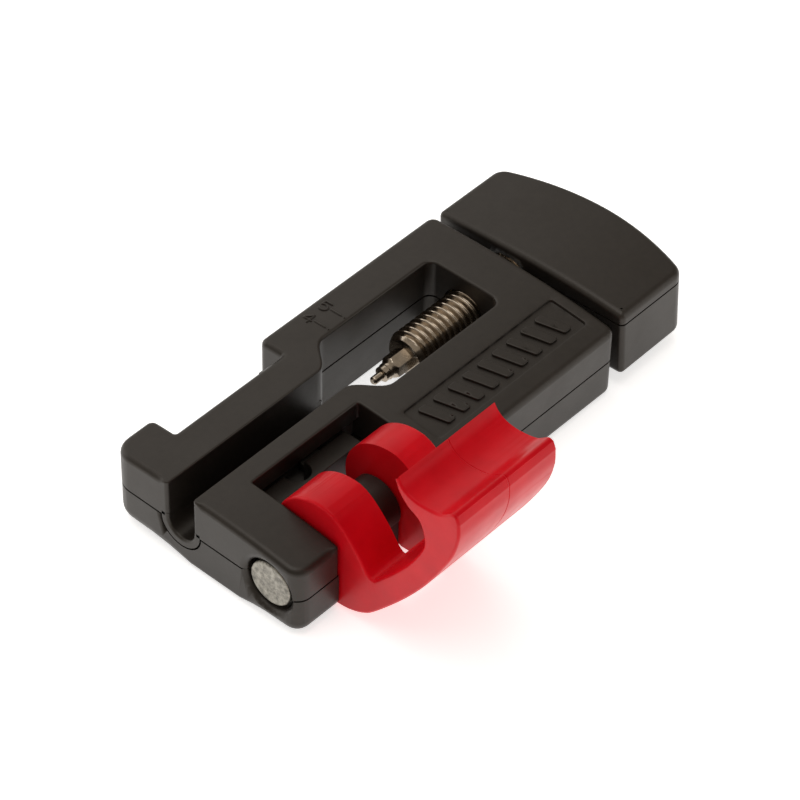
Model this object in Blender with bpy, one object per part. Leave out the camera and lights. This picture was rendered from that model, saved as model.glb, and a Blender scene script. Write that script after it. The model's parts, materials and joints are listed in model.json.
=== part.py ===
"""Hydraulic brake hose clamp and barb driver: a palm-sized bicycle workshop tool.

A brake hose lies in the round-bottomed channel at the front of the body.  The
red lever swings over the body; its two cam ears push the clamp shoe against the
hose.  Turning the end knob screws the lead screw through the nut in the body's
rear wall, and the stepped pin on the screw's end presses the barb into the hose.

Frame of the sizes below: x runs from the front face to the knob, y from the
lever's side to the plain side, z up from the base.  The empty "tool_frame"
moves that corner so that the world origin is under the middle of the object.
"""
import math

import bmesh
import bpy
from mathutils import Matrix, Vector

MM = 0.001

# Body
BODY_LENGTH = 71.6 * MM
BODY_WIDTH = 38.0 * MM
EDGE_HEIGHT = 13.2 * MM
CROWN = 1.3 * MM
CROWN_LEFT = 0.55 * MM
BODY_ROUND = 1.0 * MM
CORNER_FRONT_LEFT = 3.5 * MM
CORNER_FRONT_RIGHT = 2.6 * MM
CORNER_REAR = 1.6 * MM
AXIS_Z = 7.3 * MM
GAP = 0.3 * MM
BOARD = 1.3 * MM

# Hose channel and window
HOSE_DIAMETER = 5.0 * MM
CHANNEL_PLAY = 0.2 * MM
CHANNEL_Y = 23.7 * MM
TROUGH_WALL = 1.3 * MM
THROAT_START = 32.2 * MM
THROAT_LENGTH = 6.8 * MM
WINDOW_END = 63.1 * MM
WINDOW_WIDTH = 14.4 * MM
WINDOW_CORNER = 1.6 * MM

# Lever bay, middle rail and the side notch that the closed lever hooks into
BAY_START = 8.7 * MM
BAY_END = 31.7 * MM
RAIL_WIDTH = 3.7 * MM
NOTCH_DEPTH = 4.9 * MM

# Recessed panel with ribs, and the two scale ticks
PANEL_START = 34.8 * MM
PANEL_END = 69.0 * MM
PANEL_Y = 3.9 * MM
PANEL_WIDTH = 7.3 * MM
PANEL_DEPTH = 0.5 * MM
PANEL_MARGIN = 1.2 * MM
RIB_COUNT = 9
RIB_WIDTH = 1.7 * MM
RIB_SLANT = 1.6 * MM
TICK_LENGTH = 2.4 * MM
TICK_WIDTH = 0.35 * MM
TICK_DEPTH = 0.25 * MM
TICKS_X = (40.2 * MM, 43.8 * MM)

# Lever and its pin
PIN_Y = 6.1 * MM
PIN_DIAMETER = 5.0 * MM
PIN_HEAD_DIAMETER = 7.8 * MM
PIN_HEAD_LENGTH = 3.0 * MM
PIN_HEAD_SINK = 0.5 * MM
PIN_HEAD_PLAY = 0.6 * MM
PIN_RIM = 0.8 * MM
PIN_END = 35.6 * MM
RING_THICKNESS = 0.8 * MM
RING_DIAMETER = 7.6 * MM
EAR_LENGTH = 7.3 * MM
FAR_EAR_LENGTH = 6.3 * MM
LEVER_PLAY = 1.3 * MM
PAD_SHORTER = 0.7 * MM
HUB_RADIUS = 9.1 * MM
HUB_RIGHT = 2.3 * MM
HUB_UP = 2.15 * MM
HUB_TOP_ANGLE = 84.0
LEVER_BAY_RADIUS = 12.6 * MM
LEVER_ROUND = 0.5 * MM
KNUCKLE_RADIUS = 4.6 * MM
KNUCKLE_WEB = 8.4 * MM

# Clamp shoe
SHOE_RIGHT = 14.2 * MM
SHOE_THICKNESS = 3.5 * MM
SHOE_END = 29.1 * MM
SHOE_TOP = 10.1 * MM
SHOE_HEADROOM = 0.4 * MM
CAM_RELIEF = 1.0 * MM
TONGUE_REACH = 11.8 * MM
TONGUE_WIDTH = 4.0 * MM
TONGUE_THICKNESS = 1.4 * MM
SHOE_TRAVEL = 4.8 * MM
SHOE_POCKET_X = 18.0 * MM
SHOE_POCKET_RADIUS = 2.2 * MM
SHOE_POCKET_DEPTH = 4.5 * MM

# Lead screw, driver pin, nut and thrust washer
THREAD_DIAMETER = 8.0 * MM
SCREW_TIP = 49.3 * MM
SCREW_CHAMFER = 0.75 * MM
DRIVER_HEX = 3.4 * MM
DRIVER_HEX_LENGTH = 3.7 * MM
DRIVER_NECK_DIAMETER = 2.8 * MM
DRIVER_NECK_LENGTH = 1.6 * MM
DRIVER_TIP_DIAMETER = 1.4 * MM
DRIVER_TIP_LENGTH = 2.1 * MM
DRIVER_DEPTH = 9.0 * MM
NUT_FLATS = 11.0 * MM
NUT_LENGTH = 5.2 * MM
NUT_WALL = 1.6 * MM
WASHER_DIAMETER = 10.0 * MM
WASHER_THICKNESS = 1.0 * MM
WASHER_BORE = 7.5 * MM
WASHER_SINK = 0.5 * MM

# Knob
KNOB_GAP = 1.7 * MM
KNOB_LENGTH = 18.1 * MM
KNOB_SIDE_LENGTH = 14.9 * MM
KNOB_CORNER = 2.5 * MM
KNOB_LIFT = 0.95 * MM
KNOB_TURN = 2.8
COVER_THICKNESS = 1.9 * MM
KNOB_HEX = 6.0 * MM
KNOB_HEX_LENGTH = 13.0 * MM
ROLL_PIN_DIAMETER = 2.5 * MM
KNOB_SCREWS_Y = (7.5 * MM, 33.0 * MM)

# Fasteners: thread-forming screws with pan heads, driven from below
SCREW_SHANK = 2.4 * MM
SCREW_HEAD = 4.6 * MM
SCREW_HEAD_HEIGHT = 1.7 * MM
SCREW_SINK = 0.4 * MM
SCREW_LENGTH = 8.0 * MM
DRIVE_RECESS = 1.5 * MM
SCREW_EDGE = 4.4 * MM

# Places that follow from the sizes
CHANNEL_RADIUS = HOSE_DIAMETER / 2 + CHANNEL_PLAY / 2
RAIL_RIGHT = CHANNEL_Y - CHANNEL_RADIUS - RAIL_WIDTH
NOTCH_Y = BODY_WIDTH - NOTCH_DEPTH
EAR_START = BAY_START + GAP
LEVER_END = BAY_END - LEVER_PLAY
KNUCKLE_START = EAR_START + EAR_LENGTH + GAP
KNUCKLE_END = LEVER_END - FAR_EAR_LENGTH - GAP
KNOB_START = BODY_LENGTH + KNOB_GAP
KNOB_END = KNOB_START + KNOB_LENGTH
NUT_START = WINDOW_END + NUT_WALL
KNOB_HEX_END = KNOB_START + KNOB_HEX_LENGTH
ROLL_PIN_X = KNOB_START + 9.5 * MM
COVER_Z = EDGE_HEIGHT - COVER_THICKNESS
TONGUE_Z = BOARD + GAP
FAR = 30.0 * MM

# Lever side view, measured from the pin's axis: away from the body, and up
ARM_INNER = ((4.4, 10.8), (5.5, 10.15), (6.7, 9.15), (8.0, 7.8), (9.3, 6.25), (10.45, 4.6),
             (11.3, 3.5), (12.2, 3.1), (13.3, 3.9), (18.3, 10.2), (21.3, 15.6), (21.75, 18.3),
             (20.8, 21.2), (18.5, 22.7), (16.9, 24.5), (16.25, 26.1))
ARM_SCOOP = ((16.6, 27.1), (17.4, 25.9), (18.6, 25.1), (20.3, 24.7), (22.4, 24.8), (24.7, 25.4),
             (27.0, 27.15))
ARM_OUTER = ((28.1, 25.6), (28.05, 22.2), (26.7, 17.5), (22.8, 10.0), (18.3, 3.3), (12.9, -3.3),
             (10.5, -5.4), (7.6, -6.6), (4.6, -6.95))
LEVER_REACH = 28.3 * MM - PIN_Y

BLACK_NYLON = ("black_nylon", (0.022, 0.020, 0.019), 0.42, 0.0)
RED_NYLON = ("red_nylon", (0.62, 0.012, 0.018), 0.28, 0.0)
BRIGHT_STEEL = ("bright_steel", (0.72, 0.70, 0.66), 0.25, 1.0)
ZINC_STEEL = ("zinc_steel", (0.42, 0.42, 0.40), 0.45, 1.0)
BRASS = ("brass", (0.70, 0.52, 0.25), 0.35, 1.0)


def clear_scene():
    for thing in list(bpy.data.objects):
        bpy.data.objects.remove(thing, do_unlink=True)


def finish_material(recipe):
    name, colour, roughness, metallic = recipe
    material = bpy.data.materials.get(name)
    if material is None:
        material = bpy.data.materials.new(name)
        material.use_nodes = True
        shader = material.node_tree.nodes["Principled BSDF"]
        shader.inputs["Base Color"].default_value = (*colour, 1.0)
        shader.inputs["Roughness"].default_value = roughness
        shader.inputs["Metallic"].default_value = metallic
        material.diffuse_color = (*colour, 1.0)
    return material


def add_empty(name, parent, location, turn=0.0):
    empty = bpy.data.objects.new(name, None)
    bpy.context.collection.objects.link(empty)
    empty.parent = parent
    empty.location = location
    empty.rotation_euler = (turn, 0.0, 0.0)
    return empty


def add_mesh(name, bm, parent, recipe=None):
    """A closed mesh as an object with its faces pointing out."""
    bmesh.ops.recalc_face_normals(bm, faces=bm.faces)
    mesh = bpy.data.meshes.new(name)
    bm.to_mesh(mesh)
    bm.free()
    thing = bpy.data.objects.new(name, mesh)
    bpy.context.collection.objects.link(thing)
    thing.parent = parent
    if recipe:
        mesh.materials.append(finish_material(recipe))
        mesh.shade_smooth()
        mesh.set_sharp_from_angle(angle=math.radians(32))
    else:
        thing.hide_render = True
        thing.display_type = "WIRE"
    return thing


def prism(name, outline, low, high, parent, recipe=None, along="z"):
    """An outline carried straight along one axis: (x, y) along z, or (y, z) along x."""
    bm = bmesh.new()
    if along == "z":
        points = [(a, b, low) for a, b in outline]
        travel = Vector((0.0, 0.0, high - low))
    else:
        points = [(low, a, b) for a, b in outline]
        travel = Vector((high - low, 0.0, 0.0))
    face = bm.faces.new([bm.verts.new(point) for point in points])
    grown = bmesh.ops.extrude_face_region(bm, geom=[face])
    moved = [item for item in grown["geom"] if isinstance(item, bmesh.types.BMVert)]
    bmesh.ops.translate(bm, verts=moved, vec=travel)
    return add_mesh(name, bm, parent, recipe)


def block(name, low, high, parent):
    outline = [(low[0], low[1]), (high[0], low[1]), (high[0], high[1]), (low[0], high[1])]
    return prism(name, outline, low[2], high[2], parent)


def turned(name, profile, parent, recipe=None, sides=32):
    """A profile of (x, radius) points turned about the x axis, with a cap at each end."""
    bm = bmesh.new()
    rings = []
    for x, radius in profile:
        ring = []
        for step in range(sides):
            angle = 2 * math.pi * (step + 0.5) / sides
            ring.append(bm.verts.new((x, radius * math.cos(angle), radius * math.sin(angle))))
        rings.append(ring)
    for first, second in zip(rings, rings[1:]):
        for step in range(sides):
            after = (step + 1) % sides
            bm.faces.new((first[step], second[step], second[after], first[after]))
    bm.faces.new(rings[0])
    bm.faces.new(rings[-1])
    return add_mesh(name, bm, parent, recipe)


def rod(name, start, end, diameter, parent, sides=32):
    return turned(name, [(start, diameter / 2), (end, diameter / 2)], parent, sides=sides)


def upright(name, x, y, low, high, diameter, parent, recipe=None, sides=20):
    outline = ring_points(x, y, diameter / 2, sides)
    return prism(name, outline, low, high, parent, recipe)


def ring_points(x, y, radius, sides, turn=0.0):
    return [(x + radius * math.cos(turn + 2 * math.pi * k / sides),
             y + radius * math.sin(turn + 2 * math.pi * k / sides)) for k in range(sides)]


def hex_points(y, z, flats):
    """A hexagon with two flats level, above and below."""
    return ring_points(y, z, flats / math.sqrt(3), 6)


def arc(centre, radius, start, end, steps):
    """Points on an arc, angles in degrees, both ends included."""
    points = []
    for k in range(steps + 1):
        angle = math.radians(start + (end - start) * k / steps)
        points.append((centre[0] + radius * math.cos(angle), centre[1] + radius * math.sin(angle)))
    return points


def rounded_rectangle(low, high, radii, steps=6):
    """Corner radii in the order low-low, high-low, high-high, low-high."""
    a, b, c, d = radii
    return (arc((low[0] + a, low[1] + a), a, 180, 270, steps)
            + arc((high[0] - b, low[1] + b), b, 270, 360, steps)
            + arc((high[0] - c, high[1] - c), c, 0, 90, steps)
            + arc((low[0] + d, high[1] - d), d, 90, 180, steps))


def crown_height(y):
    """The top's height across the body: highest in the middle, and lower at the right edge."""
    half = BODY_WIDTH / 2
    fall = CROWN if y < half else CROWN_LEFT
    return EDGE_HEIGHT + CROWN - fall * ((y - half) / half) ** 2


def crown_section(low_z, steps=16):
    """The end view of body and knob, a little wider than both: a flat base and a crowned top."""
    width = BODY_WIDTH + 2 * MM
    top = []
    for k in range(steps + 1):
        y = width * k / steps - MM
        top.append((y, crown_height(y)))
    return [(BODY_WIDTH + MM, low_z), (-MM, low_z)] + top


def combine(thing, tool, operation="DIFFERENCE"):
    change = thing.modifiers.new(tool.name, "BOOLEAN")
    change.object = tool
    change.operation = operation
    change.solver = "EXACT"


def bevel_edges(thing, width, segments=2, angle=35):
    change = thing.modifiers.new("rounded_edges", "BEVEL")
    change.width = width
    change.segments = segments
    change.limit_method = "ANGLE"
    change.angle_limit = math.radians(angle)
    change.harden_normals = False


def settled(thing):
    """The object's own mesh with its modifiers worked in, so that later cuts start clean."""
    bpy.context.view_layer.update()
    graph = bpy.context.evaluated_depsgraph_get()
    mesh = bpy.data.meshes.new_from_object(thing.evaluated_get(graph))
    thing.modifiers.clear()
    thing.data = mesh
    return thing


def copy_of(thing, name, recipe):
    twin = bpy.data.objects.new(name, thing.data.copy())
    bpy.context.collection.objects.link(twin)
    twin.parent = thing.parent
    twin.data.materials.clear()
    twin.data.materials.append(finish_material(recipe))
    twin.data.shade_smooth()
    twin.data.set_sharp_from_angle(angle=math.radians(32))
    return twin


def window_outline():
    """The window, with an S-shaped throat that widens out of the channel on both sides."""
    half = WINDOW_WIDTH / 2
    side = []
    for k in range(13):
        t = k / 12
        x = THROAT_START + THROAT_LENGTH * t
        blend = t * t * t * (t * (6 * t - 15) + 10)
        side.append((x, CHANNEL_RADIUS + (half - CHANNEL_RADIUS) * blend))
    rear = arc((WINDOW_END - WINDOW_CORNER, half - WINDOW_CORNER), WINDOW_CORNER, 90, 0, 5)
    upper = [(THROAT_START - 1.0 * MM, CHANNEL_RADIUS)] + side + rear
    left = [(x, CHANNEL_Y + y) for x, y in upper]
    right = [(x, CHANNEL_Y - y) for x, y in reversed(upper)]
    return left + right


def channel_outline(radius, top):
    """A round-bottomed slot in the (y, z) plane."""
    low = arc((CHANNEL_Y, AXIS_Z), radius, 180, 360, 16)
    return low + [(CHANNEL_Y + radius, top), (CHANNEL_Y - radius, top)]


def shell_block(frame):
    """The whole body as one rounded slab, before it is split into two shells."""
    radii = (CORNER_FRONT_RIGHT, CORNER_REAR, CORNER_REAR, CORNER_FRONT_LEFT)
    plan = rounded_rectangle((0.0, 0.0), (BODY_LENGTH, BODY_WIDTH), radii)
    slab = prism("body_slab", plan, -FAR, FAR, frame)
    section = prism("body_section", crown_section(0.0), -FAR,
                    BODY_LENGTH + FAR, frame, along="x")
    combine(slab, section, "INTERSECT")
    bevel_edges(slab, BODY_ROUND, segments=3)
    return settled(slab)


def knuckle_solid(frame):
    """The black knuckle between the lever's ears: a barrel on a web and a floor strip."""
    barrel = rod("knuckle_tool", KNUCKLE_START, KNUCKLE_END, 2 * KNUCKLE_RADIUS, frame)
    barrel.location = (0.0, PIN_Y, AXIS_Z)
    half = KNUCKLE_WEB / 2
    web = block("knuckle_web_tool", (KNUCKLE_START, PIN_Y - half, -FAR),
                (KNUCKLE_END, PIN_Y + half, AXIS_Z), frame)
    strip = block("knuckle_strip_tool", (KNUCKLE_START, PIN_Y - half + 0.1 * MM, -FAR - MM),
                  (KNUCKLE_END, RAIL_RIGHT + 2 * MM, BOARD), frame)
    combine(barrel, web, "UNION")
    combine(barrel, strip, "UNION")
    return barrel


def fastener_places():
    """Where the four body screws stand, (x, y)."""
    rear = BODY_LENGTH - SCREW_EDGE
    return ((SCREW_EDGE, NOTCH_Y - 1.6 * MM), (rear, BODY_WIDTH - SCREW_EDGE),
            (rear, SCREW_EDGE + MM), (PIN_END + 7.0 * MM, PANEL_Y + PANEL_WIDTH / 2))


def shared_cuts(frame):
    """Cuts that both shells take."""
    cuts = [prism("window_cut", window_outline(), -FAR, FAR, frame)]
    cuts.append(block("notch_cut", (BAY_START, NOTCH_Y, -FAR), (BAY_END, BODY_WIDTH + FAR, FAR), frame))
    cuts.append(block("shoe_opening_cut", (BAY_START, PIN_Y, BOARD),
                      (SHOE_END + GAP, SHOE_RIGHT + SHOE_THICKNESS + SHOE_TRAVEL + GAP,
                       SHOE_TOP + SHOE_HEADROOM), frame))
    low = SHOE_TOP + SHOE_HEADROOM
    relief = [(RAIL_RIGHT - MM, BOARD), (RAIL_RIGHT + CAM_RELIEF, BOARD), (RAIL_RIGHT + CAM_RELIEF, low),
              (RAIL_RIGHT + CAM_RELIEF / 2, low), (RAIL_RIGHT - 0.1 * MM, low + MM),
              (RAIL_RIGHT - MM, low + MM)]
    cuts.append(prism("cam_relief_cut", relief, BAY_START, BAY_END, frame, along="x"))
    tongue_end = SHOE_RIGHT + TONGUE_REACH + SHOE_TRAVEL + GAP
    for number, start in enumerate(tongue_starts()):
        cuts.append(block(f"tongue_cut_{number + 1}", (start - GAP, PIN_Y + MM, BOARD + 0.01 * MM),
                          (start + TONGUE_WIDTH + GAP, tongue_end,
                           TONGUE_Z + TONGUE_THICKNESS + GAP), frame))
    head = PIN_HEAD_DIAMETER / 2 + PIN_HEAD_PLAY
    bore = turned("pin_bore_cut", [(-PIN_RIM, head + 2 * PIN_RIM), (PIN_RIM, head),
                                   (PIN_HEAD_SINK + PIN_HEAD_LENGTH + GAP, head),
                                   (PIN_HEAD_SINK + PIN_HEAD_LENGTH + GAP, PIN_DIAMETER / 2 + GAP),
                                   (PIN_END - 2.5 * MM, PIN_DIAMETER / 2 + GAP),
                                   (PIN_END - 2.5 * MM, RING_DIAMETER / 2 + GAP),
                                   (PIN_END + GAP, RING_DIAMETER / 2 + GAP)], frame)
    bore.location = (0.0, PIN_Y, AXIS_Z)
    cuts.append(bore)
    shaft = rod("screw_bore_cut", WINDOW_END - MM, BODY_LENGTH + MM, THREAD_DIAMETER + 2 * GAP, frame)
    shaft.location = (0.0, CHANNEL_Y, AXIS_Z)
    cuts.append(shaft)
    cuts.append(prism("nut_pocket_cut", hex_points(CHANNEL_Y, AXIS_Z, NUT_FLATS + 2 * GAP),
                      NUT_START - GAP, NUT_START + NUT_LENGTH + GAP, frame, along="x"))
    for number, (x, y) in enumerate(fastener_places()):
        cuts.append(upright(f"fastener_cut_{number + 1}", x, y, -MM,
                            SCREW_SINK + SCREW_HEAD_HEIGHT + SCREW_LENGTH + GAP,
                            SCREW_SHANK + 2 * GAP, frame))
    return cuts


def tongue_starts():
    return (EAR_START + 0.4 * MM, SHOE_END - 0.4 * MM - TONGUE_WIDTH)


def panel_cut(frame):
    """The recessed panel, leaving a row of slanted ribs standing in it."""
    radii = (0.5 * MM,) * 4
    plan = rounded_rectangle((PANEL_START, PANEL_Y), (PANEL_END, PANEL_Y + PANEL_WIDTH), radii, 3)
    floor = crown_height(PANEL_Y) - PANEL_DEPTH
    recess = prism("panel_cut", plan, floor, FAR, frame)
    pitch = (PANEL_END - PANEL_START - 2 * PANEL_MARGIN - RIB_SLANT) / RIB_COUNT
    low, high = PANEL_Y + PANEL_MARGIN, PANEL_Y + PANEL_WIDTH - PANEL_MARGIN
    for number in range(RIB_COUNT):
        x = PANEL_START + PANEL_MARGIN + pitch * number + (pitch - RIB_WIDTH) / 2
        outline = [(x + RIB_SLANT, low), (x + RIB_SLANT + RIB_WIDTH, low),
                   (x + RIB_WIDTH, high), (x, high)]
        combine(recess, prism(f"rib_tool_{number + 1}", outline, -FAR, 2 * FAR, frame))
    return recess


def body_upper(frame, slab, cuts):
    shell = copy_of(slab, "body_upper", BLACK_NYLON)
    zone = prism("trough_tool", channel_outline(CHANNEL_RADIUS + TROUGH_WALL, 2 * FAR),
                 -FAR, THROAT_START + MM, frame, along="x")
    above = block("upper_zone_tool", (-FAR - MM, -FAR, AXIS_Z),
                  (BODY_LENGTH + FAR, BODY_WIDTH + FAR, FAR), frame)
    combine(above, zone, "UNION")
    combine(shell, above, "INTERSECT")
    combine(shell, prism("channel_cut", channel_outline(CHANNEL_RADIUS, 3 * FAR), -FAR,
                         THROAT_START + MM, frame, along="x"))
    combine(shell, block("bay_cut", (BAY_START, -FAR, -FAR), (BAY_END, RAIL_RIGHT, FAR), frame))
    for cut in cuts:
        combine(shell, cut)
    combine(shell, panel_cut(frame))
    tick_low = CHANNEL_Y + WINDOW_WIDTH / 2 + 1.2 * MM
    for number, x in enumerate(TICKS_X):
        top = crown_height(tick_low + TICK_LENGTH) - TICK_DEPTH
        combine(shell, block(f"tick_cut_{number + 1}", (x - TICK_WIDTH / 2, tick_low, top),
                             (x + TICK_WIDTH / 2, tick_low + TICK_LENGTH, FAR), frame))
    return shell


def body_lower(frame, slab, cuts):
    shell = copy_of(slab, "body_lower", BLACK_NYLON)
    knuckle = knuckle_solid(frame)
    above = block("lower_zone_tool", (-FAR - MM, -FAR, AXIS_Z - GAP),
                  (BODY_LENGTH + FAR, BODY_WIDTH + FAR, FAR), frame)
    combine(above, knuckle)
    bay = block("bay_lower_cut", (BAY_START, -FAR, -FAR / 2), (BAY_END, RAIL_RIGHT, FAR / 2), frame)
    combine(bay, knuckle)
    combine(shell, above)
    combine(shell, bay)
    combine(shell, prism("trough_cut", channel_outline(CHANNEL_RADIUS + TROUGH_WALL + GAP, 2 * FAR),
                         -FAR, THROAT_START + MM + GAP, frame, along="x"))
    for cut in cuts:
        combine(shell, cut)
    for number, (x, y) in enumerate(fastener_places()):
        combine(shell, upright(f"head_cut_{number + 1}", x, y, -2 * MM,
                               SCREW_SINK + SCREW_HEAD_HEIGHT + GAP, SCREW_HEAD + 2 * GAP, frame))
    return shell


def fastener(name, x, y, base, parent):
    """A pan-head thread-forming screw standing on its head, with a hexagon drive recess."""
    radius = SCREW_HEAD / 2
    shank = SCREW_SHANK / 2
    head_top = base + SCREW_HEAD_HEIGHT
    profile = [(base, radius * 0.72), (base + 0.35 * MM, radius * 0.94), (base + 0.8 * MM, radius),
               (head_top, radius), (head_top, shank), (head_top + SCREW_LENGTH - 0.7 * MM, shank),
               (head_top + SCREW_LENGTH, shank * 0.45)]
    screw = turned(name, profile, parent, ZINC_STEEL, sides=16)
    recess = prism(f"{name}_drive_tool", hex_points(0.0, 0.0, DRIVE_RECESS), base - MM,
                   base + MM, screw, along="x")
    combine(screw, recess)
    screw.rotation_euler = (0.0, -math.pi / 2, 0.0)
    screw.location = (x, y, 0.0)
    return screw


def catmull(points, steps):
    """A smooth curve through the points (Catmull-Rom), both ends kept."""
    padded = [points[0]] + list(points) + [points[-1]]
    curve = []
    for k in range(1, len(padded) - 2):
        before, start, end, after = (Vector(p) for p in padded[k - 1:k + 3])
        for step in range(steps):
            t = step / steps
            point = 0.5 * ((2 * start) + (end - before) * t
                           + (2 * before - 5 * start + 4 * end - after) * t * t
                           + (3 * start - before - 3 * end + after) * t ** 3)
            curve.append(tuple(point))
    curve.append(tuple(points[-1]))
    return curve


def lever_outline():
    """The lever from its front: the eccentric hub, the gap, the arm, the scoop and its back."""
    curve = []
    for run, steps in ((ARM_INNER, 4), (ARM_SCOOP, 4), (ARM_OUTER, 4)):
        curve += [(u * MM, w * MM) for u, w in catmull(run, steps)]
    centre = (HUB_RIGHT, HUB_UP)
    start = math.degrees(math.atan2(curve[-1][1] - HUB_UP, curve[-1][0] - HUB_RIGHT))
    hub = arc(centre, HUB_RADIUS, start - 8, HUB_TOP_ANGLE - 360, 30)
    return [(-u, w) for u, w in curve + hub]


def lever(frame):
    bearing = add_empty("lever_axis", frame, (0.0, PIN_Y, AXIS_Z))
    arm = prism("lever", lever_outline(), EAR_START, LEVER_END, bearing, RED_NYLON, along="x")
    bevel_edges(arm, LEVER_ROUND, segments=2, angle=50)
    combine(arm, rod("lever_bay_cut", KNUCKLE_START - GAP, KNUCKLE_END + GAP,
                     2 * LEVER_BAY_RADIUS, bearing, sides=48))
    combine(arm, rod("lever_bore_cut", 0.0, BODY_LENGTH, PIN_DIAMETER + 2 * GAP, bearing))
    pad_end = LEVER_END - PAD_SHORTER
    beyond = [(pad_end, -FAR - MM), (LEVER_END + MM, -FAR - MM), (LEVER_END + MM, -6 * MM),
              (LEVER_END, -6 * MM), (pad_end, -14 * MM)]
    combine(arm, prism("pad_end_cut", beyond, -FAR, FAR + MM, bearing))
    return arm


def lever_pin(frame):
    head, shank = PIN_HEAD_DIAMETER / 2, PIN_DIAMETER / 2
    face = PIN_HEAD_SINK
    groove = PIN_END - 1.8 * MM
    profile = [(face, head - 0.35 * MM), (face + 0.35 * MM, head), (face + PIN_HEAD_LENGTH, head),
               (face + PIN_HEAD_LENGTH, shank), (groove, shank), (groove, shank - 0.7 * MM),
               (groove + RING_THICKNESS + 2 * GAP, shank - 0.7 * MM),
               (groove + RING_THICKNESS + 2 * GAP, shank), (PIN_END - 0.3 * MM, shank),
               (PIN_END, shank - 0.3 * MM)]
    pin = turned("lever_pin", profile, frame, ZINC_STEEL)
    pin.location = (0.0, PIN_Y, AXIS_Z)
    outline = arc((0.0, 0.0), RING_DIAMETER / 2, 25, 335, 20)
    outline += arc((0.0, 0.0), shank - 0.7 * MM + GAP, 335, 25, 14)
    ring = prism("pin_retaining_ring", outline, groove + GAP, groove + GAP + RING_THICKNESS,
                 frame, BRIGHT_STEEL, along="x")
    ring.location = (0.0, PIN_Y, AXIS_Z)
    return pin


def clamp_shoe(frame):
    left = SHOE_RIGHT + SHOE_THICKNESS
    shoe = prism("clamp_shoe", [(EAR_START, SHOE_RIGHT), (SHOE_END, SHOE_RIGHT), (SHOE_END, left),
                                (EAR_START, left)], TONGUE_Z, SHOE_TOP, frame, BLACK_NYLON)
    for number, start in enumerate(tongue_starts()):
        tongue = block(f"tongue_tool_{number + 1}", (start, SHOE_RIGHT + 0.4 * MM, TONGUE_Z),
                       (start + TONGUE_WIDTH, SHOE_RIGHT + TONGUE_REACH,
                        TONGUE_Z + TONGUE_THICKNESS), frame)
        combine(shoe, tongue, "UNION")
    pocket = upright("shoe_pocket_tool", SHOE_POCKET_X, left - 0.6 * MM, SHOE_TOP - SHOE_POCKET_DEPTH,
                     SHOE_TOP + MM, 2 * SHOE_POCKET_RADIUS, frame)
    combine(shoe, pocket)
    return shoe


def drive_nut(frame):
    nut = prism("drive_nut", hex_points(0.0, 0.0, NUT_FLATS), NUT_START, NUT_START + NUT_LENGTH,
                frame, BRASS, along="x")
    nut.location = (0.0, CHANNEL_Y, AXIS_Z)
    combine(nut, rod("nut_bore_cut", 0.0, BODY_LENGTH + MM, THREAD_DIAMETER + 2 * GAP, nut))
    return nut


def thrust_washer(frame):
    radius = WASHER_DIAMETER / 2
    start = KNOB_START + WASHER_SINK
    washer = turned("thrust_washer", [(start, radius), (start + WASHER_THICKNESS, radius)],
                    frame, BRIGHT_STEEL)
    washer.location = (0.0, CHANNEL_Y, AXIS_Z)
    combine(washer, rod("washer_bore_cut", WINDOW_END, KNOB_END, WASHER_BORE, washer))
    return washer


def lead_screw(turning):
    """The screw's outer shape: a chamfered tip, the threaded length and a hexagon in the knob."""
    radius = THREAD_DIAMETER / 2
    face = radius - SCREW_CHAMFER
    profile = [(SCREW_TIP, face), (SCREW_TIP + SCREW_CHAMFER, radius), (KNOB_START - GAP, radius)]
    screw = turned("lead_screw", profile, turning, BRIGHT_STEEL)
    hexagon = prism("screw_hex_tool", hex_points(0.0, 0.0, KNOB_HEX), KNOB_START - 3 * MM,
                    KNOB_HEX_END, turning, along="x")
    combine(screw, hexagon, "UNION")
    seat = prism("driver_seat_cut", hex_points(0.0, 0.0, DRIVER_HEX + 2 * GAP), SCREW_TIP - MM,
                 SCREW_TIP + DRIVER_DEPTH + GAP, turning, along="x")
    combine(screw, seat)
    combine(screw, roll_pin_hole("screw_pin_cut", turning))
    return screw


def roll_pin_hole(name, turning):
    return upright(name, ROLL_PIN_X, 0.0, -FAR, FAR, ROLL_PIN_DIAMETER + 2 * GAP, turning, sides=16)


def driver_pin(turning):
    """A hexagon shank with a chamfered shoulder, a round neck and a fine round tip."""
    shoulder = SCREW_TIP - DRIVER_HEX_LENGTH
    neck = shoulder - DRIVER_NECK_LENGTH
    tip = neck - DRIVER_TIP_LENGTH
    corner = DRIVER_HEX / math.sqrt(3)
    shank = prism("driver_pin", hex_points(0.0, 0.0, DRIVER_HEX), shoulder,
                  SCREW_TIP + DRIVER_DEPTH, turning, BRIGHT_STEEL, along="x")
    outside = corner + 0.1 * MM
    cone = turned("driver_cone_tool", [(shoulder - MM, corner - 1.1 * MM),
                                       (shoulder + 0.7 * MM, outside),
                                       (SCREW_TIP + DRIVER_DEPTH + MM, outside)], turning)
    combine(shank, cone, "INTERSECT")
    thin, fine = DRIVER_NECK_DIAMETER / 2, DRIVER_TIP_DIAMETER / 2
    nose = turned("driver_nose_tool", [(tip, fine - 0.25 * MM), (tip + 0.35 * MM, fine), (neck, fine),
                                       (neck, thin), (shoulder + MM, thin)], turning, sides=24)
    combine(shank, nose, "UNION")
    return shank


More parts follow.
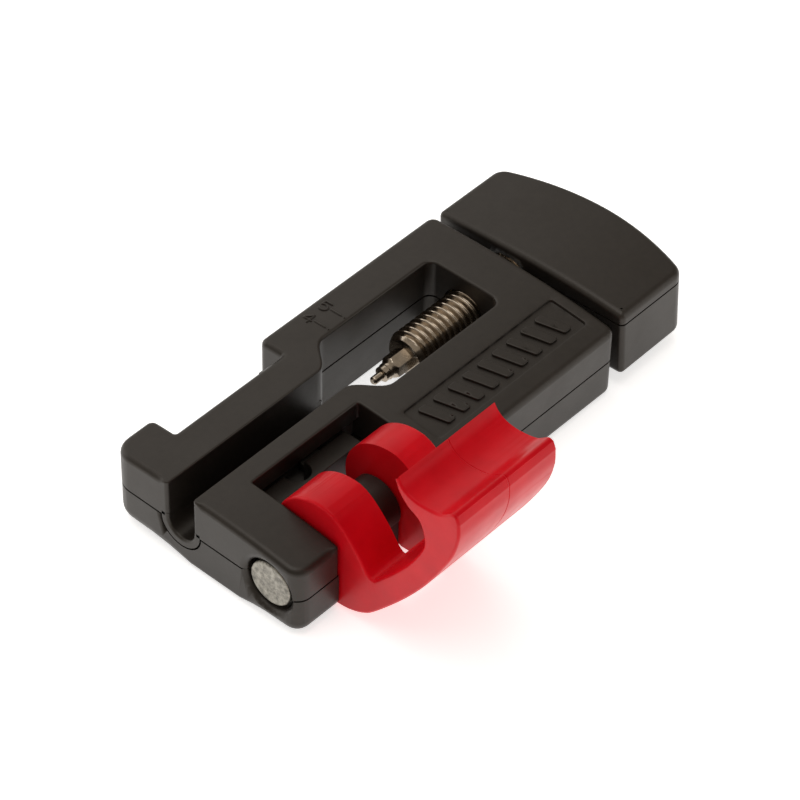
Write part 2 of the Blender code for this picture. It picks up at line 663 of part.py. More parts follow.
def knob_plan():
    """The knob from above: a straight front edge and a bowed rear edge with round corners."""
    half = BODY_WIDTH / 2
    bow = KNOB_LENGTH - KNOB_SIDE_LENGTH
    radius = (half * half + bow * bow) / (2 * bow)
    centre_x = KNOB_END - radius
    corner = KNOB_CORNER
    inner = half - corner
    reach = radius - corner
    corner_x = centre_x + math.sqrt(reach * reach - inner * inner)
    lean = math.degrees(math.asin(inner / reach))
    plan = [(KNOB_START, 0.0)]
    plan += arc((corner_x, corner), corner, 270, 360 - lean, 6)
    plan += arc((centre_x, half), radius, -lean, lean, 12)[1:-1]
    plan += arc((corner_x, BODY_WIDTH - corner), corner, lean, 90, 6)
    plan.append((KNOB_START, BODY_WIDTH))
    return plan


def knob_slab(turning):
    """The knob as one rounded slab, with the same crowned section as the body."""
    slab = prism("knob_slab", knob_plan(), -FAR, FAR, turning)
    section = prism("knob_section", crown_section(KNOB_LIFT), BODY_LENGTH, KNOB_END + FAR,
                    turning, along="x")
    for piece in (slab, section):
        piece.data.transform(Matrix.Translation((0.0, -CHANNEL_Y, -AXIS_Z)))
    combine(slab, section, "INTERSECT")
    bevel_edges(slab, BODY_ROUND, segments=3)
    return settled(slab)


def knob_pieces(turning):
    slab = knob_slab(turning)
    base = copy_of(slab, "knob_body", BLACK_NYLON)
    cover = copy_of(slab, "knob_cover", BLACK_NYLON)
    recess = rod("washer_recess_cut", BODY_LENGTH, KNOB_START + WASHER_SINK + WASHER_THICKNESS + GAP,
                 WASHER_DIAMETER + 2 * GAP, turning)
    combine(base, recess)
    combine(cover, recess)
    seam = COVER_Z - AXIS_Z
    combine(base, block("knob_body_zone_cut", (BODY_LENGTH, -FAR - BODY_WIDTH, seam - GAP),
                        (KNOB_END + FAR, FAR + BODY_WIDTH, FAR), turning))
    combine(base, prism("knob_hex_cut", hex_points(0.0, 0.0, KNOB_HEX + 2 * GAP), BODY_LENGTH,
                        KNOB_HEX_END + GAP, turning, along="x"))
    hole = upright("knob_pin_cut", ROLL_PIN_X, 0.0, KNOB_LIFT + MM - AXIS_Z, FAR,
                   ROLL_PIN_DIAMETER + 2 * GAP, turning, sides=16)
    combine(base, hole)
    combine(cover, block("cover_zone_cut", (BODY_LENGTH, -FAR - BODY_WIDTH, -FAR),
                         (KNOB_END + FAR, FAR + BODY_WIDTH, seam), turning))
    x = (KNOB_START + KNOB_END) / 2
    for number, place in enumerate(KNOB_SCREWS_Y):
        y = place - CHANNEL_Y
        boss = upright(f"cover_boss_tool_{number + 1}", x, y, seam - 3.2 * MM, seam + MM, 5.0 * MM, turning)
        combine(cover, boss, "UNION")
        start = KNOB_LIFT - AXIS_Z
        combine(cover, upright(f"cover_hole_cut_{number + 1}", x, y, -FAR,
                               start + SCREW_SINK + SCREW_HEAD_HEIGHT + SCREW_LENGTH + GAP,
                               SCREW_SHANK + 2 * GAP, turning))
        combine(base, upright(f"boss_hole_cut_{number + 1}", x, y, seam - 3.2 * MM - GAP, FAR,
                              5.0 * MM + 2 * GAP, turning))
        combine(base, upright(f"shank_hole_cut_{number + 1}", x, y, -FAR, FAR,
                              SCREW_SHANK + 2 * GAP, turning))
        combine(base, upright(f"head_hole_cut_{number + 1}", x, y, start - MM,
                              start + SCREW_SINK + SCREW_HEAD_HEIGHT + GAP, SCREW_HEAD + 2 * GAP, turning))
        fastener(f"knob_screw_{number + 1}", x, y, start + SCREW_SINK, turning)
    upright("knob_roll_pin", ROLL_PIN_X, 0.0, KNOB_LIFT + MM + GAP - AXIS_Z, seam - GAP,
            ROLL_PIN_DIAMETER, turning, BRIGHT_STEEL, sides=16)


def build():
    clear_scene()
    frame = add_empty("tool_frame", None,
                      (-KNOB_END / 2, (LEVER_REACH - BODY_WIDTH) / 2, 0.0))
    slab = shell_block(frame)
    cuts = shared_cuts(frame)
    body_upper(frame, slab, cuts)
    body_lower(frame, slab, cuts)
    for number, (x, y) in enumerate(fastener_places()):
        fastener(f"body_screw_{number + 1}", x, y, SCREW_SINK, frame)
    lever(frame)
    lever_pin(frame)
    clamp_shoe(frame)
    drive_nut(frame)
    thrust_washer(frame)
    turning = add_empty("knob_axis", frame, (0.0, CHANNEL_Y, AXIS_Z), math.radians(-KNOB_TURN))
    lead_screw(turning)
    driver_pin(turning)
    knob_pieces(turning)
    bpy.context.view_layer.update()


build()
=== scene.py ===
"""The looks of a hydraulic brake hose clamp and barb driver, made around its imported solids.

The upper shell, the cam lever and its pin, the lead screw and the driver pin are made anew as fine
surfaces.  The lower shell and the knob's two shells are copies cut to a finer rounded form, and the
other solids are copies with their creases kept.  Lengths inside the surface functions are
millimetres from the body's front right lower corner: x to the knob, y to the left, z up.
"""
import json
import math

import bmesh
import bpy
import numpy as np
from bpy.props import FloatProperty, FloatVectorProperty, PointerProperty
from mathutils import Matrix, Vector
from mathutils.geometry import delaunay_2d_cdt


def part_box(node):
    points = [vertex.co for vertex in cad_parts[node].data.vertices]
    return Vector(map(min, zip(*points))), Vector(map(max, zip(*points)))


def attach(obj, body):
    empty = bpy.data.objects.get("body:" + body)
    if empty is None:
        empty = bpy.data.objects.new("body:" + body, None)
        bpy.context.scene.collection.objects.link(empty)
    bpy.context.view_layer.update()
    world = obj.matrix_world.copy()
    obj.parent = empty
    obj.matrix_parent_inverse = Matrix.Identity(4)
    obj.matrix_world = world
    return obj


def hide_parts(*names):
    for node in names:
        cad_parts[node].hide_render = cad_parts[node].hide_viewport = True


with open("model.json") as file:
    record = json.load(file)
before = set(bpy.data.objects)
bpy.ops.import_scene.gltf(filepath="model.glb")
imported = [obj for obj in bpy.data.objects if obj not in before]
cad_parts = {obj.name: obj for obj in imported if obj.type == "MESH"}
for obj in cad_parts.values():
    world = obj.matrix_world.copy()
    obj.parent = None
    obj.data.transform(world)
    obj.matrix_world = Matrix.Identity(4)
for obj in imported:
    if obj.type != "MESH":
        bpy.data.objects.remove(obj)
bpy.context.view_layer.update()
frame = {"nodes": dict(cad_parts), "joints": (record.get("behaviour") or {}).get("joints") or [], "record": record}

bl_info = {
    "name": "Brake hose barb driver",
    "version": (1, 0, 0),
    "blender": (4, 5, 0),
    "location": "3D View > Sidebar > Barb driver",
    "description": "Builds the shells, lever, screw, pins and finishes of a brake hose barb driver",
    "category": "Object",
}

MM = 0.001
CORNER = np.array([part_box("body_upper")[0][0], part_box("body_upper")[0][1], 0.0])
JOINTS = {joint["name"]: joint for joint in frame["joints"]}


def from_corner(point):
    """A place in the frame, in metres, as millimetres from the body's corner."""
    return (np.asarray(point, float) - CORNER) / MM


def span(node):
    """The lowest and highest corners of a solid, in millimetres from the body's corner."""
    low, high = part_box(node)
    return from_corner(low), from_corner(high)


LENGTH, WIDTH, CREST = span("body_upper")[1]
PIN = from_corner(JOINTS["lever_swing"]["pos_m"])
SCREW = from_corner(JOINTS["knob_turn"]["pos_m"])
LEVER_LOW, LEVER_HIGH = span("lever")
PITCH = 2 * math.pi * frame["record"]["behaviour"]["couplings"][1]["ratio"] / MM

# The body, from its front face and right side: the crown's fall to the right and left, the
# channel's width, the throat's start and end, the window's width, end and corner, the lever bay's
# start, end and depth, the side notch's floor, the corner radii, and the upper shell's lower face
CROWN = (1.3, 0.55)
CHANNEL = 5.2
THROAT = (32.2, 39.0)
WINDOW = (14.4, 63.1, 1.6)
BAY = (8.7, 31.7, 17.4)
NOTCH = 33.1
FRONT_CORNERS = (2.6, 3.5)
REAR_CORNER = 1.6
NOTCH_CORNER = 1.3
INNER_CORNER = 0.35
BAY_CORNER = 0.5
SEAM = 7.26
TROUGH_WALL = 1.3

# The ribbed panel's start, end, right and left sides, and the scale's ticks
PANEL = (34.8, 69.0, 3.9, 11.2)
PANEL_DEPTH = 0.5
PANEL_CORNER = 0.6
RIBS = 9
RIB_MARGIN = 1.1
SCALE_X = {"4": 40.5, "5": 44.1}
FIGURE_HEIGHT = 1.9
FIGURE_WIDTH = 1.7

# The lever from its front, measured from the pin's axis: away from the body, and up. The hub has
# its centre and radius, the gap between the ears its start, end and radius, and the pad's end its
# shortening and where its slope starts and ends
HUB = (2.3, 2.15, 9.1)
HUB_TOP_ANGLE = 84.0
ARM_INNER = ((4.4, 10.8), (5.5, 10.15), (6.7, 9.15), (8.0, 7.8), (9.3, 6.25), (10.45, 4.6),
             (11.3, 3.5), (12.2, 3.1), (13.3, 3.9), (18.3, 10.2), (21.3, 15.6), (21.75, 18.3),
             (20.8, 21.2), (18.5, 22.7), (16.9, 24.5), (16.25, 26.1))
ARM_SCOOP = ((16.6, 27.05), (17.4, 25.9), (18.6, 25.1), (20.3, 24.7), (22.4, 24.8), (24.7, 25.4),
             (26.7, 26.9), (27.6, 26.8))
ARM_OUTER = ((28.1, 25.6), (28.05, 22.2), (26.7, 17.5), (22.8, 10.0), (18.3, 3.3), (12.9, -3.3),
             (10.5, -5.4), (7.6, -6.6), (4.6, -6.95))
LEVER_GAP = (16.3, 24.1, 12.6)
PAD_END = (0.7, 6.0, 14.0)
PARTING = 19.7

# The point that the camera looks at
VIEW_CENTRE = (40.7, 16.9, 8.8)

# The knob: its gap to the body, the length of its straight sides, its corner radii front and rear,
# its underside's height, and its roll about the screw
KNOB_GAP = 1.7
KNOB_SIDES = 14.9
KNOB_CORNERS = (0.95, 2.5)
KNOB_BASE = 0.95
KNOB_TURN = math.radians(-2.8)

# The screw's crest radius, the share of the pitch its thread is deep, and its hidden end
THREAD_CREST = 4.0
THREAD_DEPTH = 0.61
THREAD_END = 73.0

# The driver's hexagon across its flats, and its turned profile from the tip: length and radius
DRIVER_HEX = 3.4
DRIVER_TURN = math.radians(33.8)
DRIVER_PROFILE = ((0.0, 0.42), (0.25, 0.66), (0.4, 0.7), (2.0, 0.7), (2.1, 1.2), (2.2, 1.3), (3.0, 1.3),
                  (3.1, 1.42), (3.45, 1.42), (3.55, 1.3), (3.68, 1.3), (3.7, 1.32), (4.4, 2.0),
                  (4.6, 2.2), (11.0, 2.2))

# Bores and clearances; the head's rim has its depth and its width
SCREW_BORE = 4.3
PIN_BORE = 2.7
LEVER_BORE = 2.8
HEAD_PLAY = 0.55
HEAD_RIM = (0.85, 1.2)
HEAD_BORE_END = 3.8
PLAY = 0.4
FORM_INSET = 0.02


# ---------------------------------------------------------------- outlines

def unit(vectors):
    """The vectors at length one."""
    return vectors / np.maximum(np.linalg.norm(vectors, axis=-1, keepdims=True), 1e-12)


def spread_out(loop, least=1e-3):
    """The outline without points that repeat the one before them."""
    gap = np.linalg.norm((loop - np.roll(loop, 1, 0))[:, :2], axis=1)
    return loop[gap > least]


def rounded(corners, steps=8):
    """Corners (x, y, radius, lip) as arcs tangent to both sides: from the start of the arc,
    radius times (sin t along the first side + (1 - cos t) towards the turn)."""
    corners = np.asarray(corners, float)
    point, radius, lip = corners[:, :2], corners[:, 2], corners[:, 3]
    before = unit(point - np.roll(point, 1, 0))
    after = unit(np.roll(point, -1, 0) - point)
    cross = before[:, 0] * after[:, 1] - before[:, 1] * after[:, 0]
    turn = np.arctan2(cross, (before * after).sum(1))
    side = np.sign(turn)[:, None] * np.stack([-before[:, 1], before[:, 0]], 1)
    start = point - before * (radius * np.tan(np.abs(turn) / 2))[:, None]
    t = np.abs(turn)[:, None] * np.linspace(0, 1, steps + 1)
    bend = np.sin(t)[..., None] * before[:, None] + (1 - np.cos(t))[..., None] * side[:, None]
    arcs = start[:, None] + radius[:, None, None] * bend
    lips = np.repeat(lip, steps + 1)
    return spread_out(np.column_stack([arcs.reshape(-1, 2), lips]))


def divided(loop, spacing):
    """The same outline with each side divided evenly into parts no longer than spacing."""
    step = np.roll(loop, -1, 0) - loop
    count = np.maximum(1, np.ceil(np.hypot(step[:, 0], step[:, 1]) / spacing)).astype(int)
    side = np.repeat(np.arange(len(loop)), count)
    share = (np.arange(count.sum()) - np.repeat(np.cumsum(count) - count, count)) / count[side]
    return loop[side] + step[side] * share[:, None]


def mitres(loop):
    """For each point of an anticlockwise outline, the step inwards that moves both its sides by 1."""
    before = unit(loop[:, :2] - np.roll(loop[:, :2], 1, 0))
    after = unit(np.roll(loop[:, :2], -1, 0) - loop[:, :2])
    first = np.stack([-before[:, 1], before[:, 0]], 1)
    second = np.stack([-after[:, 1], after[:, 0]], 1)
    return (first + second) / (1 + (first * second).sum(1))[:, None]


def curve_through(points, steps):
    """Catmull-Rom: a cubic between each two points whose slope at each is half its neighbours' step."""
    p = np.asarray(points, float)
    p = np.vstack([2 * p[0] - p[1], p, 2 * p[-1] - p[-2]])
    t = np.linspace(0, 1, steps, endpoint=False)[None, :, None]
    a, b, c, d = (p[k:len(p) - 3 + k, None, :] for k in range(4))
    curve = 0.5 * (2 * b + (c - a) * t + (2 * a - 5 * b + 4 * c - d) * t ** 2
                   + (3 * b - a - 3 * c + d) * t ** 3)
    return np.vstack([curve.reshape(-1, 2), p[-2]])


def inside(points, loops):
    """Even-odd rule: a point is inside if a line from it crosses the outlines an odd number of times."""
    crossings = np.zeros(len(points), int)
    for loop in loops:
        x1, y1 = loop[:, 0], loop[:, 1]
        x2, y2 = np.roll(x1, -1), np.roll(y1, -1)
        x, y = points[:, :1], points[:, 1:2]
        cuts = (y1 > y) != (y2 > y)
        level = np.where(np.abs(y2 - y1) < 1e-12, 1.0, y2 - y1)
        crossings += (cuts & (x < (x2 - x1) * (y - y1) / level + x1)).sum(1)
    return crossings % 2 == 1


def filled(loops, spacing):
    """Triangles between the first outline and the others, through a square grid of inner points."""
    edge = np.concatenate(loops)
    low, high = edge.min(0) + spacing / 2, edge.max(0)
    grid = np.stack(np.meshgrid(np.arange(low[0], high[0], spacing),
                                np.arange(low[1], high[1], spacing)), -1).reshape(-1, 2)
    grid = grid[inside(grid, loops)]
    if len(grid):
        near = np.linalg.norm(grid[:, None] - edge[None], axis=2).min(1)
        grid = grid[near > 0.45 * spacing]
    starts = np.cumsum([0] + [len(loop) for loop in loops])
    sides = np.concatenate([np.column_stack([np.arange(a, b), np.roll(np.arange(a, b), -1)])
                            for a, b in zip(starts, starts[1:])])
    points = np.concatenate([edge, grid])
    found = delaunay_2d_cdt([Vector(p) for p in points], sides.tolist(), [], 0, 1e-6)
    flat, faces = np.array(found[0]), np.array(found[2])
    return flat, faces[inside(flat[faces].mean(1), loops)]


# ---------------------------------------------------------------- surfaces

def crown(y):
    """The top's height across the body: a parabola on each side of the middle line, where it is
    highest, with a deeper fall to the right than to the left."""
    fall = np.where(np.asarray(y) < WIDTH / 2, CROWN[0], CROWN[1])
    return CREST - fall * ((y - WIDTH / 2) / (WIDTH / 2)) ** 2


def joined(parts):
    """Several (points, faces) pairs as one list of points and one of faces."""
    points, faces, start = [], [], 0
    for part_points, part_faces in parts:
        points.append(part_points)
        faces += [[start + k for k in face] for face in part_faces]
        start += len(part_points)
    return np.concatenate(points), faces


def between(rings):
    """Quads between closed rings that all have as many points: an array (ring, point, 3)."""
    rows, count = rings.shape[:2]
    index = np.arange(rows * count).reshape(rows, count)
    after = np.roll(index, -1, 1)
    quads = np.stack([index[:-1], after[:-1], after[1:], index[1:]], -1)
    return rings.reshape(-1, 3), quads.reshape(-1, 4)


def lathe(x, radius, sides=64, along=(0.0, 0.0)):
    """Rings about a line parallel to x, closed by a fan at each end: (x, r cos a, r sin a).
    radius is one value for each x, or one for each x and angle."""
    angle = 2 * math.pi * np.arange(sides) / sides
    radius = np.broadcast_to(np.asarray(radius, float).reshape(len(x), -1), (len(x), sides))
    rings = np.stack([np.broadcast_to(np.asarray(x, float)[:, None], radius.shape),
                      along[0] + radius * np.cos(angle), along[1] + radius * np.sin(angle)], -1)
    points, quads = between(rings)
    ends = np.array([[x[0], *along], [x[-1], *along]])
    first = np.arange(sides)
    last = first + (len(x) - 1) * sides
    fans = [np.column_stack([np.full(sides, len(points)), np.roll(first, -1), first]),
            np.column_stack([np.full(sides, len(points) + 1), last, np.roll(last, -1)])]
    faces = quads.tolist() + np.concatenate(fans).tolist()
    return np.concatenate([points, ends]), faces


def make_mesh(name, points, faces):
    """A mesh in metres from points in millimetres from the corner, merged, with its faces out."""
    mesh = bpy.data.meshes.new(name)
    mesh.from_pydata((np.asarray(points) * MM + CORNER).tolist(), [], faces)
    body = bmesh.new()
    body.from_mesh(mesh)
    bmesh.ops.remove_doubles(body, verts=body.verts, dist=2e-6)
    bmesh.ops.recalc_face_normals(body, faces=body.faces)
    body.to_mesh(mesh)
    body.free()
    return mesh


def make_piece(name, points, faces):
    """A new object with the mesh, at the origin."""
    thing = bpy.data.objects.new(name, make_mesh(name, points, faces))
    bpy.context.scene.collection.objects.link(thing)
    return thing


def worked_in(thing):
    """The object with its modifiers worked into its mesh."""
    graph = bpy.context.evaluated_depsgraph_get()
    mesh = bpy.data.meshes.new_from_object(thing.evaluated_get(graph))
    thing.modifiers.clear()
    old = thing.data
    thing.data = mesh
    bpy.data.meshes.remove(old)
    return thing


def cut_by(thing, tools, operation="DIFFERENCE"):
    """Boolean with each tool, worked in; the tools are then removed."""
    for tool in tools:
        change = thing.modifiers.new(tool.name, "BOOLEAN")
        change.object = tool
        change.operation = operation
        change.solver = "EXACT"
    worked_in(thing)
    for tool in tools:
        bpy.data.objects.remove(tool)
    return thing


def softened(thing, width, angle=40, segments=3):
    """Edges sharper than the angle get a round of this width, in millimetres."""
    change = thing.modifiers.new("soft_edges", "BEVEL")
    change.width = width * MM
    change.segments = segments
    change.limit_method = "ANGLE"
    change.angle_limit = math.radians(angle)
    return worked_in(thing)


def smoothed(thing, angle=34):
    """Smooth shading that keeps creases, with the normals of flat faces kept flat."""
    thing.data.shade_smooth()
    thing.data.set_sharp_from_angle(angle=math.radians(angle))
    change = thing.modifiers.new("flat_faces_flat", "WEIGHTED_NORMAL")
    change.keep_sharp = True
    change.weight = 80
    return worked_in(thing)


def finished(thing, material, body, slot, *nodes):
    """Gives the piece its finish and its body, and hides the solids it stands for. The slot is not used."""
    thing.data.materials.clear()
    thing.data.materials.append(material)
    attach(thing, body)
    if nodes:
        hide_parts(*nodes)
    return thing


def copied(node):
    """A solid's mesh, its loose triangles merged, as a new piece."""
    thing = bpy.data.objects.new(node + "_fine", frame["nodes"][node].data.copy())
    bpy.context.scene.collection.objects.link(thing)
    body = bmesh.new()
    body.from_mesh(thing.data)
    bmesh.ops.remove_doubles(body, verts=body.verts, dist=1e-6)
    bmesh.ops.dissolve_limit(body, angle_limit=math.radians(0.4), verts=body.verts, edges=body.edges)
    body.to_mesh(thing.data)
    body.free()
    return thing


def body_of(node):
    """The name of the moving body that holds the node."""
    groups = frame["record"]["behaviour"]["bodies"]
    return next(body for body, members in groups.items() if node in members)


# ---------------------------------------------------------------- shell

def lip_rings(loop, low, foot, top, steps=6, support=0.15):
    """Rings up a wall: a chamfered foot, the upright wall, then a quarter round whose point at
    turn t is inset by lip (1 - cos t) and lip (1 - sin t) below the top, and one ring beyond."""
    lip = loop[:, 2]
    turn = np.linspace(0, math.pi / 2, steps + 1)[:, None]
    inward = np.vstack([lip * (1 - np.cos(turn)), (lip + support)[None]])
    drop = np.vstack([lip * (1 - np.sin(turn)), np.zeros((1, len(lip)))])
    flat = loop[None, :, :2] + mitres(loop)[None] * inward[..., None]
    upper = np.concatenate([flat, (top(flat[..., 1]) - drop)[..., None]], -1)
    base = np.stack([loop[:, :2] + mitres(loop) * foot, loop[:, :2]])
    lower = np.concatenate([base, np.array([low, low + foot])[:, None, None]
                            * np.ones((2, len(loop), 1))], -1)
    return np.concatenate([lower, upper])


def capped(flat, faces, height):
    """A filled outline raised to its height at each point."""
    return np.column_stack([flat, height(flat)]), faces


def throat(sign, lip):
    """One side of the throat: half a channel growing to half a window along a smooth S,
    t^3 (6 t^2 - 15 t + 10), for t from 0 to 1 along it. The lip widens with it."""
    t = np.linspace(0, 1, 14)
    half = CHANNEL / 2 + (WINDOW[0] - CHANNEL) / 2 * t ** 3 * (t * (6 * t - 15) + 10)
    x = THROAT[0] + (THROAT[1] - THROAT[0]) * t
    return np.column_stack([x, SCREW[1] + sign * half, 0 * t, lip * (0.6 + 0.4 * t)])


def window_rear(lip):
    """The window's two rounded corners at its rear."""
    far_left, far_right = SCREW[1] + WINDOW[0] / 2, SCREW[1] - WINDOW[0] / 2
    return [(WINDOW[1], far_left, WINDOW[2], lip), (WINDOW[1], far_right, WINDOW[2], lip)]


def shell_outline():
    """The top shell's outline, anticlockwise: outer sides with the lever's bay and the side notch,
    then in along the channel, around the window and out again."""
    size = looks()
    outer, inner, bay = size.outer_lip, size.window_lip, size.bay_lip
    edge, mouth = 0.6 * inner, 0.62
    before, after = BAY[0] - 1.6, BAY[1] + 1.6
    left, right = SCREW[1] + CHANNEL / 2, SCREW[1] - CHANNEL / 2
    first = [(0, 0, FRONT_CORNERS[0], outer), (before, 0, 0, outer), (BAY[0], 0, BAY_CORNER, bay),
             (BAY[0], BAY[2], 0.3, bay), (BAY[1], BAY[2], BAY_CORNER, bay),
             (BAY[1], 0, BAY_CORNER, bay), (after, 0, 0, outer),
             (LENGTH, 0, REAR_CORNER, outer), (LENGTH, WIDTH, REAR_CORNER, outer),
             (BAY[1], WIDTH, NOTCH_CORNER, outer), (BAY[1], NOTCH, INNER_CORNER, outer),
             (BAY[0], NOTCH, INNER_CORNER, outer), (BAY[0], WIDTH, NOTCH_CORNER, outer),
             (0, WIDTH, FRONT_CORNERS[1], outer), (0, left + 1.7, 0, outer), (0, left, mouth, edge)]
    last = [(0, right, mouth, edge), (0, right - 1.7, 0, outer)]
    corners = np.vstack([first, throat(1, inner), window_rear(inner), throat(-1, inner)[::-1], last])
    return divided(rounded(corners), 1.0)


def panel_loop():
    """The panel's outline: a rectangle with rounded corners."""
    x0, x1, y0, y1 = PANEL
    corners = [(x, y, PANEL_CORNER, 0) for x, y in ((x0, y0), (x1, y0), (x1, y1), (x0, y1))]
    return divided(rounded(corners), 1.0)


def panel_recess():
    """The panel's walls, a rounded edge down to a floor that follows the crown, and the ring
    that joins it to the top."""
    loop = panel_loop()
    step = np.array([-0.28, -0.08, 0.0, 0.0, 0.05, 0.2])[:, None]
    depth = np.array([0.0, 0.05, 0.2, PANEL_DEPTH - 0.15, PANEL_DEPTH - 0.04, PANEL_DEPTH])
    flat = loop[None, :, :2] + mitres(loop)[None] * step[..., None]
    rings = np.concatenate([flat, (crown(flat[..., 1]) - depth[:, None])[..., None]], -1)
    floor = capped(*filled([flat[-1]], 1.2), lambda p: crown(p[:, 1]) - PANEL_DEPTH)
    return flat[0], [between(rings), floor]


def rib(number):
    """One slanted rib of the panel: a parallelogram with rounded corners, raised to the top."""
    x0, x1, y0, y1 = PANEL
    low, high = y0 + RIB_MARGIN, y1 - RIB_MARGIN
    pitch = (x1 - x0 - 4.0) / RIBS
    x = x0 + 1.2 + pitch * (number + 0.5) - 1.05
    corners = [(x + 1.7, low, 0.45, 0.16), (x + 3.6, low, 0.45, 0.16),
               (x + 1.9, high, 0.45, 0.16), (x + 0.0, high, 0.45, 0.16)]
    loop = divided(rounded(corners, 6), 0.8)
    floor = float(crown(np.array(low))) - 2 * PANEL_DEPTH
    rings = lip_rings(loop, floor, 0.0, lambda y: crown(y) - 0.06, 4, 0.08)
    top = capped(*filled([rings[-1, :, :2]], 0.9), lambda p: crown(p[:, 1]) - 0.06)
    base = capped(*filled([rings[0, :, :2]], 5.0), lambda p: np.full(len(p), floor))
    return joined([between(rings), top, base])


def bead(points, width=0.34, height=0.2):
    """A raised line along a path: rings of half-width w sin a and height h cos a across it, drawn
    in at both ends."""
    path = np.asarray(points, float)
    ahead = unit(np.gradient(path, axis=0))
    across = np.stack([-ahead[:, 1], ahead[:, 0]], 1)
    start, end = path[0] - ahead[0] * width / 2, path[-1] + ahead[-1] * width / 2
    path = np.vstack([start, path, end])
    across = np.vstack([across[:1], across, across[-1:]])
    full = np.ones(len(path))
    full[[0, -1]] = 0.02
    full[[1, -2]] = 0.9
    angle = 2 * math.pi * np.arange(12) / 12
    flat = path[:, None] + across[:, None] * (width / 2 * full[:, None] * np.sin(angle))[..., None]
    z = crown(path[:, 1])[:, None] + height * full[:, None] * np.cos(angle)
    rings = np.concatenate([flat, z[..., None]], -1)
    points, quads = between(rings)
    ends = [np.arange(12)[::-1].tolist(), (np.arange(12) + len(points) - 12).tolist()]
    return points, quads.tolist() + ends


def numeral_strokes(figure):
    """A figure 4 or 5 in a box one wide and one high, as strokes."""
    if figure == "4":
        return [[(0.72, 0.0), (0.72, 1.0)], [(0.72, 1.0), (0.0, 0.32)], [(0.0, 0.32), (1.0, 0.32)]]
    turn = np.linspace(2.35, -2.35, 14)
    bowl = np.column_stack([0.46 + 0.5 * np.cos(turn), 0.34 + 0.34 * np.sin(turn)])
    return [[(0.95, 1.0), (0.15, 1.0)], [(0.15, 1.0), (0.08, 0.55)], bowl.tolist()]


def scale_marks():
    """Each tick across the left rail, its dot by the window, and its figure beyond it."""
    near = SCREW[1] + WINDOW[0] / 2
    parts = []
    for figure, x in SCALE_X.items():
        tick = np.linspace((x, near + 1.3), (x, near + 3.6), 8)
        parts.append(bead(tick, 0.36, 0.16))
        parts.append(bead(np.linspace((x, near + 0.62), (x, near + 0.7), 4), 0.4, 0.16))
        for stroke in numeral_strokes(figure):
            stroke = np.asarray(stroke, float)
            along = x - FIGURE_HEIGHT / 2 + FIGURE_HEIGHT * stroke[:, 1]
            path = np.column_stack([along, near + 5.6 - FIGURE_WIDTH * stroke[:, 0]])
            share = np.linspace(0, len(path) - 1, 4 * len(path))
            path = np.column_stack([np.interp(share, np.arange(len(path)), path[:, k]) for k in (0, 1)])
            parts.append(bead(path, 0.36, 0.22))
    return parts



def rounded_block(corners, low, high, top):
    """A block on a plan of (x, y, corner radius, edge radius), set in a little from it: a quarter
    round of the edge radius r at its foot, with inset r (1 - cos t) and height r (1 - sin t) at
    turn t, upright sides, and a lip of radius high at its top."""
    loop = divided(rounded(corners), 1.2)
    loop[:, :2] += FORM_INSET * mitres(loop)
    turn = np.linspace(math.pi / 2, 0, 7)[:, None]
    round_ = loop[:, 2]
    inward = round_ * (1 - np.cos(turn))
    flat = loop[None, :, :2] + mitres(loop)[None] * inward[..., None]
    foot = np.concatenate([flat, (low + round_ * (1 - np.sin(turn)))[..., None]], -1)
    upper = lip_rings(np.column_stack([loop[:, :2], np.full(len(loop), high)]), low, 0.0, top)[2:]
    rings = np.concatenate([foot, upper])
    base = capped(*filled([foot[0, :, :2]], 60.0), lambda p: np.full(len(p), low))
    cap = capped(*filled([upper[-1, :, :2]], 1.6), lambda p: top(p[:, 1]))
    return joined([between(rings), base, cap])


def body_block():
    """The body's outer form below the seam, its lower edge rounder at the corners and the left."""
    corners = [(0, 0, FRONT_CORNERS[0], 2.3), (LENGTH, 0, REAR_CORNER, 1.45),
               (LENGTH, WIDTH, REAR_CORNER, 1.45),
               (LENGTH - 6, WIDTH, 0, 2.6), (4, WIDTH, 0, 2.8), (0, WIDTH, FRONT_CORNERS[1], 2.8),
               (0, 30.0, 0, 2.7), (0, 26.5, 0, 2.2), (0, 22.0, 0, 1.0), (0, 12.0, 0, 1.0),
               (0, 9.3, 0, 1.8), (0, 7.0, 0, 2.2)]
    return rounded_block(corners, FORM_INSET, 0.5, lambda y: np.full(np.shape(y), 16.0))


def knob_block():
    """The knob's outer form, rolled about the screw: straight sides and a bowed rear."""
    start, end = LENGTH + KNOB_GAP, span("knob_cover")[1][0]
    bow, half = end - start - KNOB_SIDES, WIDTH / 2
    radius = (half ** 2 + bow ** 2) / (2 * bow)
    angle = np.linspace(-0.84, 0.84, 22) * math.asin(half / radius)
    rear = np.column_stack([end - radius + radius * np.cos(angle), half + radius * np.sin(angle),
                            np.zeros(len(angle)), np.full(len(angle), 1.2)])
    side = start + KNOB_SIDES
    corners = np.vstack([[(start, 0, KNOB_CORNERS[0], 1.0), (side, 0, KNOB_CORNERS[1], 1.2)], rear,
                         [(side, WIDTH, KNOB_CORNERS[1], 1.2), (start, WIDTH, KNOB_CORNERS[0], 1.0)]])
    points, faces = rounded_block(corners, KNOB_BASE + FORM_INSET, looks().outer_lip,
                                  lambda y: crown(y) - 2 * FORM_INSET)
    return rolled(points, KNOB_TURN), faces


def rolled(points, turn):
    """The points turned about the screw's axis."""
    y, z = points[:, 1] - SCREW[1], points[:, 2] - SCREW[2]
    return np.column_stack([points[:, 0], SCREW[1] + y * math.cos(turn) - z * math.sin(turn),
                            SCREW[2] + y * math.sin(turn) + z * math.cos(turn)])


